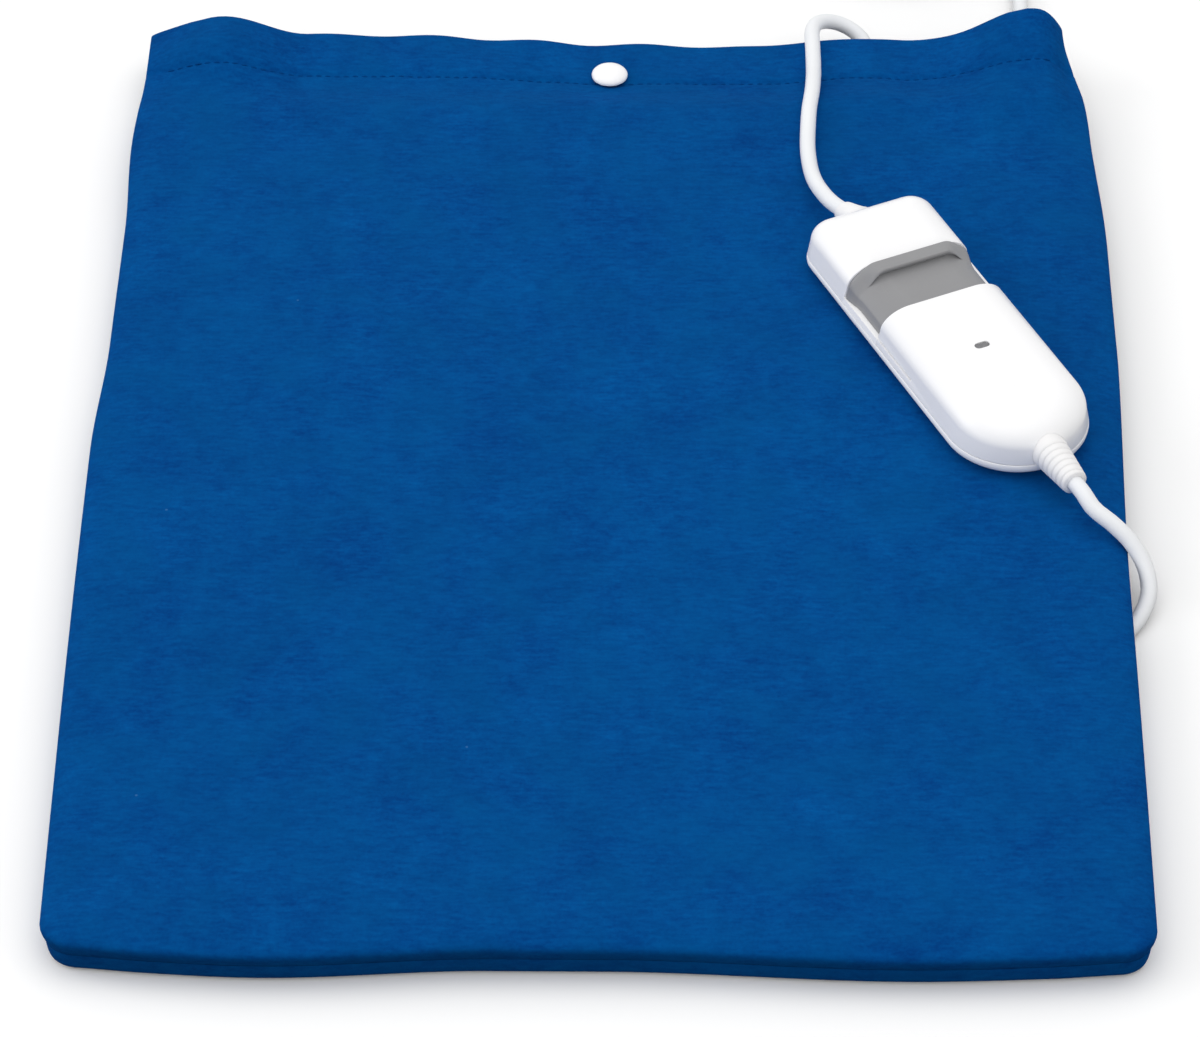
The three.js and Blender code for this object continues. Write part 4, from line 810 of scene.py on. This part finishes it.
def flank(height):
    """Half of the case's width at a height on its straight side walls."""
    return case_width / 2 - lean * (height - foot_rise) / (case_height - shoulder_rise - foot_rise)


def sill_bar(side):
    """The low wall of the cap beside the deck, which the slider's skirt runs along."""
    low, high = parting + fit / 2, sill_top
    inner = flank(high) - sill_width
    edge = [(flank(low), low), (flank(high), high), (inner, high), (inner, low)]
    ends = (deck_x, hood_x) if side < 0 else (hood_x, deck_x)
    points = [(x, side * y, z) for x in ends for y, z in edge]
    return np.array(points), ring_faces(2, len(edge))


deck_skin = trim(case_skin(deck_inset, deck_section), above_parting, ((deck_x - 2, 0, 0), (-1, 0, 0)))
stem_slot = box_cutter((-21.8, -2.3, 9), (-1.7, 2.3, 20))
lamp_hole = rod_cutter(1.8, (lamp_x, 0, 8), (lamp_x, 0, 20))
deck_mesh = baked(scratch("deck", deck_skin), deck_wall, [stem_slot, lamp_hole], 0.3)
points, faces = joined(cap_mesh, sill_bar(-1), sill_bar(1), deck_mesh)
case_upper = build("case_upper", in_case(points), faces, white_plastic, crease=35)
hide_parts("case_upper_shell")
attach(case_upper, "pad")


# Slider: a satin grey saddle over the deck. A rib at its pad end stands just above the case for the thumb;
# the plate behind the rib and the skirts down both flanks run in under the hood.
rib_top, rib_proud, rib_round, rib_inset = 4.5, 1.1, 0.6, 0.35


def saddle_half(x, raised, wall):
    """Half of the saddle's section at a place along the case, from the foot of its skirt up to the middle."""
    along = x - slider_x
    inset = wall + rib_inset + (slider_inset - rib_inset) * float(smooth(along / 8))
    drop = rib_round - math.sqrt(max(rib_round**2 - max(rib_round - along, 0) ** 2, 0))
    facet = float(smooth(along / 6))
    rounds = [np.array(a) * (1 - facet) + np.array(b) * facet for a, b in zip(shoulder_arc, facet_arc)]
    side = [((z - foot_rise) / (case_height - shoulder_rise - foot_rise) * lean, z) for z in (6.8, 7.6, 8.6)]
    side += [(lean + step, height) for step, leaning, height in rounds]
    half = []
    for step, height in side + [(lean + step, case_height) for step in (12, 14, 16, 18.5)]:
        rise = float(smooth((step - lean - 3) / 6))
        level = case_level(slider_inset * (0.2 + 0.8 * facet) + wall, height)
        crest = case_level(slider_inset, case_height) + (slider_inset + rib_proud) * raised
        lift = (crest - level) * rise * raised
        half.append((case_width / 2 - inset - step - drop * (1 - rise), level + lift - drop * rise))
    half[0] = (half[0][0], sill_top + fit / 2)
    return half


def slider_stations():
    """Places along the slider with the share of the rib's height there; its lip leans out over its foot."""
    back = [(rib_round * (1 - math.cos(a)), 1) for a in np.radians(np.linspace(0, 90, 6))]
    top = [(x, 1) for x in (1.2, 2.2, 3.2, rib_top)]
    lip = [(0.3, 0.985), (0.5, 0.93), (0.55, 0.85), (0.3, 0.72), (-0.1, 0.5), (-0.5, 0.3), (-0.6, 0.14)]
    lip = [(rib_top + x, raised) for x, raised in [*lip, (-0.3, 0.04), (0.3, 0)]]
    plate = [(x, 0) for x in np.linspace(rib_top + 1.4, slider_length, 12)]
    return [(slider_x + x, raised) for x, raised in back + top + lip + plate]


rows = []
for x, raised in reversed(slider_stations()):
    row = []
    for side, half in ((1, saddle_half(x, raised, 0)), (-1, saddle_half(x, 0, slider_wall))):
        row += [(x, side * y, z) for y, z in half] + [(x, 0, half[-1][1])]
        row += [(x, -side * y, z) for y, z in half[::-1]]
    rows.append(row)
count, span = len(rows[0]), len(rows[0]) // 2
faces = ring_faces(len(rows), count)[:-2]
for k in range(span - 1):
    first, last = count - 1 - k, (len(rows) - 1) * count
    faces += [(first, first - 1, k + 1, k), (last + k, last + k + 1, last + first - 1, last + first)]
saddle_mesh = np.array(rows).reshape(-1, 3), faces
stem = box_cutter((-21.5, -2, 11.7), (-15.5, 2, 14.6))
points, faces = joined(saddle_mesh, baked(stem, 0, (), 0.3))
grey_plastic = plastic_finish("grey_satin_plastic", (0.285, 0.285, 0.29, 1), (0.255, 0.255, 0.265, 1), 0.45)
slider = build("slider_saddle", in_case(points), faces, grey_plastic, crease=35)
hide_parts("slider")
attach(slider, "switch")


# Hood: white moulded cover over the mains half of the deck, snapped down on its feet. The slider runs in
# under its straight front edge, and a small slot near its middle holds the lamp's window.
hood = scratch("hood", trim(case_skin(0), above_parting, ((hood_x, 0, 0), (-1, 0, 0))))


def oblong(x, half_x, half_y):
    """A slot's outline, longer across the case, with round ends."""
    end = arc(x, half_y - half_x, half_x, 0, 180, 12)
    return np.vstack([end, (2 * x, 0) - end])


window_slot = prism_cutter(oblong(lamp_x, 1.35, 2.45), 12, 24)
groove_y, groove_top, foot_y = 23, 7.8, 7.53
grooves = []
for y in (-groove_y, groove_y):
    grooves.append(box_cutter((hood_x - 1, y - 2.3, sill_top), (hood_x + 22, y + 2.3, groove_top)))
hood_mesh = baked(hood, hood_wall, [window_slot, rod_cutter(*relief_holes[1]), *grooves], 0.25)
feet = [baked(box_cutter((12, y - 2.5, 14), (34.8, y + 2.5, 16.2)), 0, (), 0.3) for y in (-foot_y, foot_y)]
points, faces = joined(hood_mesh, *feet)
case_hood = build("hood", in_case(points), faces, white_plastic, crease=35)
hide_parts("case_hood")
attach(case_hood, "pad")


# Lamp window: a smoky clear plastic pill in the hood's slot, set a hair below the surface, over a small red
# lamp on the board.
def window_finish():
    made, shade, surface = finish("smoky_window", {"Coat Weight": 0.3})
    cloud = shade.noise(shade.place(), 0.9, 2.0)
    cloud.blended((0.09, 0.09, 0.095, 1), (0.24, 0.24, 0.25, 1)).into(surface["Base Color"])
    (cloud * 0.1 + 0.12).into(surface["Roughness"])
    return made


pill = baked(prism_cutter(oblong(lamp_x, 1.2, 2.3), 14.0, 16.85), 0, (), 0.4)
window = build("lamp_pill", in_case(pill[0]), pill[1], window_finish(), crease=50)
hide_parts("lamp_window")
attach(window, "pad")


# Strain reliefs: soft white vinyl sleeves moulded round each cord, with a flange held inside the case. The
# one at the mains end is ribbed so that it bends; the one at the pad end is a short plain flare.
relief_vinyl = vinyl_finish("white_relief_vinyl", (0.92, 0.915, 0.915, 1), (0.86, 0.85, 0.85, 1), 0.48)
bore = cord_diameter / 2 + 0.05
mains_relief_tip, mains_tip_radius, relief_start, relief_length = 76.8, 4.0, 61.8, 15
groove_count, groove_pitch, groove_depth = 6, 2.3, 0.42
groove = [(-0.08, -0.75), (0, -0.42), (0.2, -0.3), (groove_depth, -0.18), (groove_depth, 0.18)]
groove += [(0.22, 0.3), (0.04, 0.42)]
sleeve = [(bore, 52.2), (6.2, 52.2), (6.2, 54.2), (5.6, 54.3), (5.6, 61.9), (5.62, 62.4)]
for i in range(groove_count):
    place = relief_start + 2.0 + i * groove_pitch
    taper = (mains_tip_radius - mains_relief_radius) * (place - relief_start) / relief_length
    sleeve += [(mains_relief_radius + taper - cut, place + along) for cut, along in groove]
sleeve += [(4.05, mains_relief_tip - 0.8), (3.95, mains_relief_tip - 0.25)]
sleeve += [(3.7, mains_relief_tip), (bore, mains_relief_tip)]
flare = [(bore, -54.3), (5.2, -54.3), (5.2, -56.2), (4.6, -56.3), (4.6, -61.4), (4.9, -61.7), (4.95, -62)]
flare += [(3.5 + 1.4 * (1 - t**0.8), -62 - 5.5 * t) for t in np.linspace(0.1, 1, 9)]
flare += [(3.4, pad_relief_tip), (bore, pad_relief_tip)]
for name, node, profile, axis in (
    ("mains_relief", "mains_strain_relief", sleeve[::-1], mains_axis),
    ("pad_relief", "pad_strain_relief", flare, pad_axis),
):
    points, faces = turned(profile, 56)
    points[:, 1] += pad_sway(points[:, 0])
    moulded = build(name, in_case(points + np.array([0, 0, axis])), faces, relief_vinyl, crease=50)
    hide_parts(node)
    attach(moulded, "pad")


# Inside the controller: a green laminate board with a sliding switch, its brass contacts and wipers, a lamp
# with its resistor, a diode and a fuse. Dark clamps hold the cords, coloured cores lead to the board, and
# four steel screws close the case from below.
def laminate_finish():
    made, shade, surface = finish("circuit_laminate")
    place = shade.place()
    weave = shade.noise(place, 2.5, 3.0)
    waves = {"Vector": place, "Scale": 0.09, "Distortion": 1.5}
    tracks = shade.node("TexWave", {"bands_direction": "Y"}, waves, output=1)
    green = weave.blended((0.012, 0.1, 0.035, 1), (0.02, 0.16, 0.055, 1))
    ((tracks > 0.7) * 0.6).blended(green, (0.04, 0.26, 0.08, 1)).into(surface["Base Color"])
    (weave * 0.2 + 0.3).into(surface["Roughness"])
    shade.bump(tracks, 0.2, 0.0001).into(surface["Normal"])
    return made


steel = metal_finish("plated_steel", (0.68, 0.68, 0.7, 1), (0.5, 0.5, 0.52, 1), 0.3)
coat(laminate_finish(), "circuit_board")
coat(dark_plastic, "contact_carriage", "switch_base", "half_wave_diode", "pad_cord_clamp", "mains_cord_clamp")
coat(brass, "wiper_left", "wiper_right", *(f"fixed_contact_{i}" for i in range(4)))
coat(steel, "detent_spring", *(f"case_screw_{i}" for i in range(1, 5)))
coat(brown_wire, "pad_core_live", "mains_core_live", "lamp_resistor")
coat(blue_wire, "pad_core_neutral", "mains_core_neutral")
coat(plastic_finish("fuse_glass", (0.72, 0.75, 0.76, 1), (0.6, 0.64, 0.66, 1), 0.15), "board_fuse")
coat(plastic_finish("red_lamp_plastic", (0.5, 0.02, 0.015, 1), (0.36, 0.01, 0.01, 1), 0.2), "indicator_lamp")


# Mains cord: the same white vinyl lead. It leaves the ribbed relief, drops over the pad's right edge, turns
# back under the pad and comes out behind it, where the rest is wound up and tied for storage.
floor_line = 2.6
coil_centre, coil_inner, coil_pitch, coil_turns = np.array([96.7, 292.0]), 20.0, 5.6, 7.25
coil_low, coil_high, coil_steps, coil_entry = 3.9, 9.5, 24, 137
coil_outer = coil_inner + coil_pitch * coil_turns / 2
mains_route = [
    *(from_case(mains_relief_tip + ahead, mains_axis) for ahead in (-14, -6, -1, 5)),
    *[(144, -35.2, 21), (149.8, -39.4, 18.4), (155.2, -43.4, 14.6), (159, -48.6, 10), (160, -55, 6)],
    (157.4, -62.2, 3.4),
]
under_pad = [(152.6, -69), (144.1, -76.2), (133.4, -78.2), (123.2, -74.4), (116.4, -66.2), (114.3, -55.6)]
under_pad += [(115, -39.6), (117.5, -17.6), (121, 8.4), (125, 38.4), (129, 72.4), (132.6, 107.4)]
under_pad += [(135.2, 142.4), (136.6, 174.4), (coil_entry, 204)]
mains_route += [(x, y, floor_line) for x, y in under_pad]
mains_route += [(coil_entry, y, z) for y, z in ((240, 2.8), (270, coil_low), (286.7, coil_low))]
for i in range(round(coil_turns * coil_steps) + 1):
    turns = i / coil_steps
    angle = 2 * math.pi * turns
    reach = coil_inner + coil_pitch * abs(turns - coil_turns / 2)
    x, y = coil_centre + reach * np.array([math.cos(angle), math.sin(angle)])
    climb = float(smooth((turns - coil_turns / 2 + 0.25) / 0.5))
    mains_route.append((x, y, coil_low + (coil_high - coil_low) * climb))
tail_y, plug_height, plug_back = coil_centre[1] + coil_outer, 7.3, 71.7
mains_route += [(91.7, tail_y, coil_high), (86.7, tail_y, coil_high)]
mains_route += [(77, tail_y, plug_height), (plug_back - 6, tail_y, plug_height)]
mains_cord, mains_line, mains_length = laid_cord("mains_cord", mains_route, 2.4, 16)
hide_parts("mains_cord_run", "mains_cord_coil", "mains_cord_tail")
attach(mains_cord, "pad")


# Coil tie: a dark woven hook-and-loop strap, drawn once round all the turns and pressed down on itself.
tie_low, tie_high = (np.array(corner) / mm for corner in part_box("coil_tie"))
tie_middle, tie_half = (tie_low + tie_high) / 2, (tie_high - tie_low) / 2


def strap_ring(inset, corner):
    """The strap's loop in the x and z directions, drawn in by an inset."""
    a, c = tie_half[0] - inset, tie_half[2] - inset
    turns = ((0, 1, 1), (90, -1, 1), (180, -1, -1), (270, 1, -1))
    arcs = [arc(sx * (a - corner), sz * (c - corner), corner, start, 90, 8) for start, sx, sz in turns]
    return np.vstack(arcs)


def strap_mesh(outer, inner, half):
    """A closed band between two loops of equal count."""
    rails = ((outer, -half), (outer, half), (inner, half), (inner, -half))
    points = np.array([(x, y, z) for loop, y in rails for x, z in loop]) + tie_middle
    return points, ring_faces(4, len(outer), True)


strap = strap_mesh(strap_ring(0, 2.4), strap_ring(0.8, 1.6), 4.0)
end_x = np.array([-7, -6.6, 0, 6, 6.4])
tail_top = np.stack([end_x, tie_half[2] + np.array([0.1, 0.75, 0.8, 0.75, 0.1])], axis=1)
tail_low = np.stack([end_x, np.full(5, tie_half[2] + 0.05)], axis=1)
lap = strap_mesh(np.vstack([tail_top, tail_low[::-1]]), np.vstack([tail_low, tail_low[::-1]]), 3.6)


def strap_finish():
    made, shade, surface = finish("dark_hook_and_loop")
    place = shade.place()
    loops = shade.node("TexVoronoi", {}, {"Vector": place, "Scale": 1.6})
    fuzz = shade.noise(place, 2.5, 4.0)
    tone = loops * 0.7 + fuzz * 0.4
    tone.blended((0.012, 0.012, 0.014, 1), (0.06, 0.06, 0.065, 1)).into(surface["Base Color"])
    (fuzz * 0.15 + 0.8).into(surface["Roughness"])
    shade.bump(loops + fuzz * 0.5, 0.8, 0.0004).into(surface["Normal"])
    return made


coil_tie = build("tie_strap", *joined(strap, lap), strap_finish(), crease=40)
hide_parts("coil_tie")
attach(coil_tie, "pad")


# Plug: flat white two-pin mains plug moulded onto the cord in one shot, with a grooved tail and finger dips.
# The two steel pins carry white insulating sleeves over their inner half. The mains cord ends in it.
def lofted(stations, sides):
    """A closed body along x through rounded sections: place, half width, half height and squareness."""
    angles = np.linspace(0, 2 * np.pi, sides, endpoint=False)
    c, s = np.cos(angles), np.sin(angles)
    points = []
    for x, wide, high, power in stations:
        y = wide * np.sign(c) * np.abs(c) ** (2 / power)
        z = high * np.sign(s) * np.abs(s) ** (2 / power)
        points.append(np.stack([np.full(sides, x), tail_y + y, plug_height + z], axis=1))
    return np.vstack(points), ring_faces(len(stations), sides)


plug_nose, pin_tip, pin_spread = 16.7, -2.3, 9.3
body = [(plug_nose, 12.4, 5.4, 4), (plug_nose + 0.5, 12.9, 6.1, 4), (18.6, 13.5, 6.6, 4), (21, 14.5, 6.9, 4)]
body += [(25, 15.9, 7, 4), (30, 17.2, 7, 4), (34, 17.3, 6.7, 4), (38, 17.1, 6.2, 4), (42, 17.2, 6.5, 4)]
body += [(45, 16.7, 6.9, 3.6), (47.5, 14.8, 6.9, 3.2), (49.5, 11.6, 6.6, 2.8), (51, 8, 5.9, 2.4)]
body += [(52, 5.6, 5, 2.1), (53, 4.5, 4.4, 2)]
for i in range(6):
    place, radius = 55 + i * 2.6, 4.35 - 0.13 * i
    for ahead, cut in ((0, 0), (0.25, 0.5), (0.75, 0.5), (1.0, 0.05)):
        body.append((place + ahead, radius - cut, radius - cut, 2))
body += [(plug_back - 0.5, 3.5, 3.5, 2), (plug_back, 3.1, 3.1, 2)]
sleeve_end, sleeve_root = 7.2, plug_nose + 1
sleeve = [(2.0, sleeve_end), (2.12, 7.35), (2.12, sleeve_root), (1.0, sleeve_root), (1.0, sleeve_end)]
pin = [(0.5, 0), (1.2, 0.12), (1.7, 0.5), (1.95, 1.2)]
pin = [(radius, pin_tip + along) for radius, along in pin] + [(1.95, plug_nose + 4)]
sleeves, pins = [], []
for side in (-1, 1):
    place = np.array([0, tail_y + side * pin_spread, plug_height])
    for made, profile, ring in ((sleeves, sleeve, True), (pins, pin, False)):
        points, faces = turned(profile, 32, ring)
        made.append((points + place, faces))
plug = build("plug_moulding", *joined(lofted(body, 64), *sleeves), white_plastic, crease=45)
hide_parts("plug_body")
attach(plug, "pad")
for name, (points, faces) in zip(("plug_pin_left", "plug_pin_right"), pins):
    pin = build(f"turned_{name}", points, faces, steel, crease=45)
    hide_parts(name)
    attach(pin, "pad")
tuple(from_case(mains_relief_tip, mains_axis) * mm)
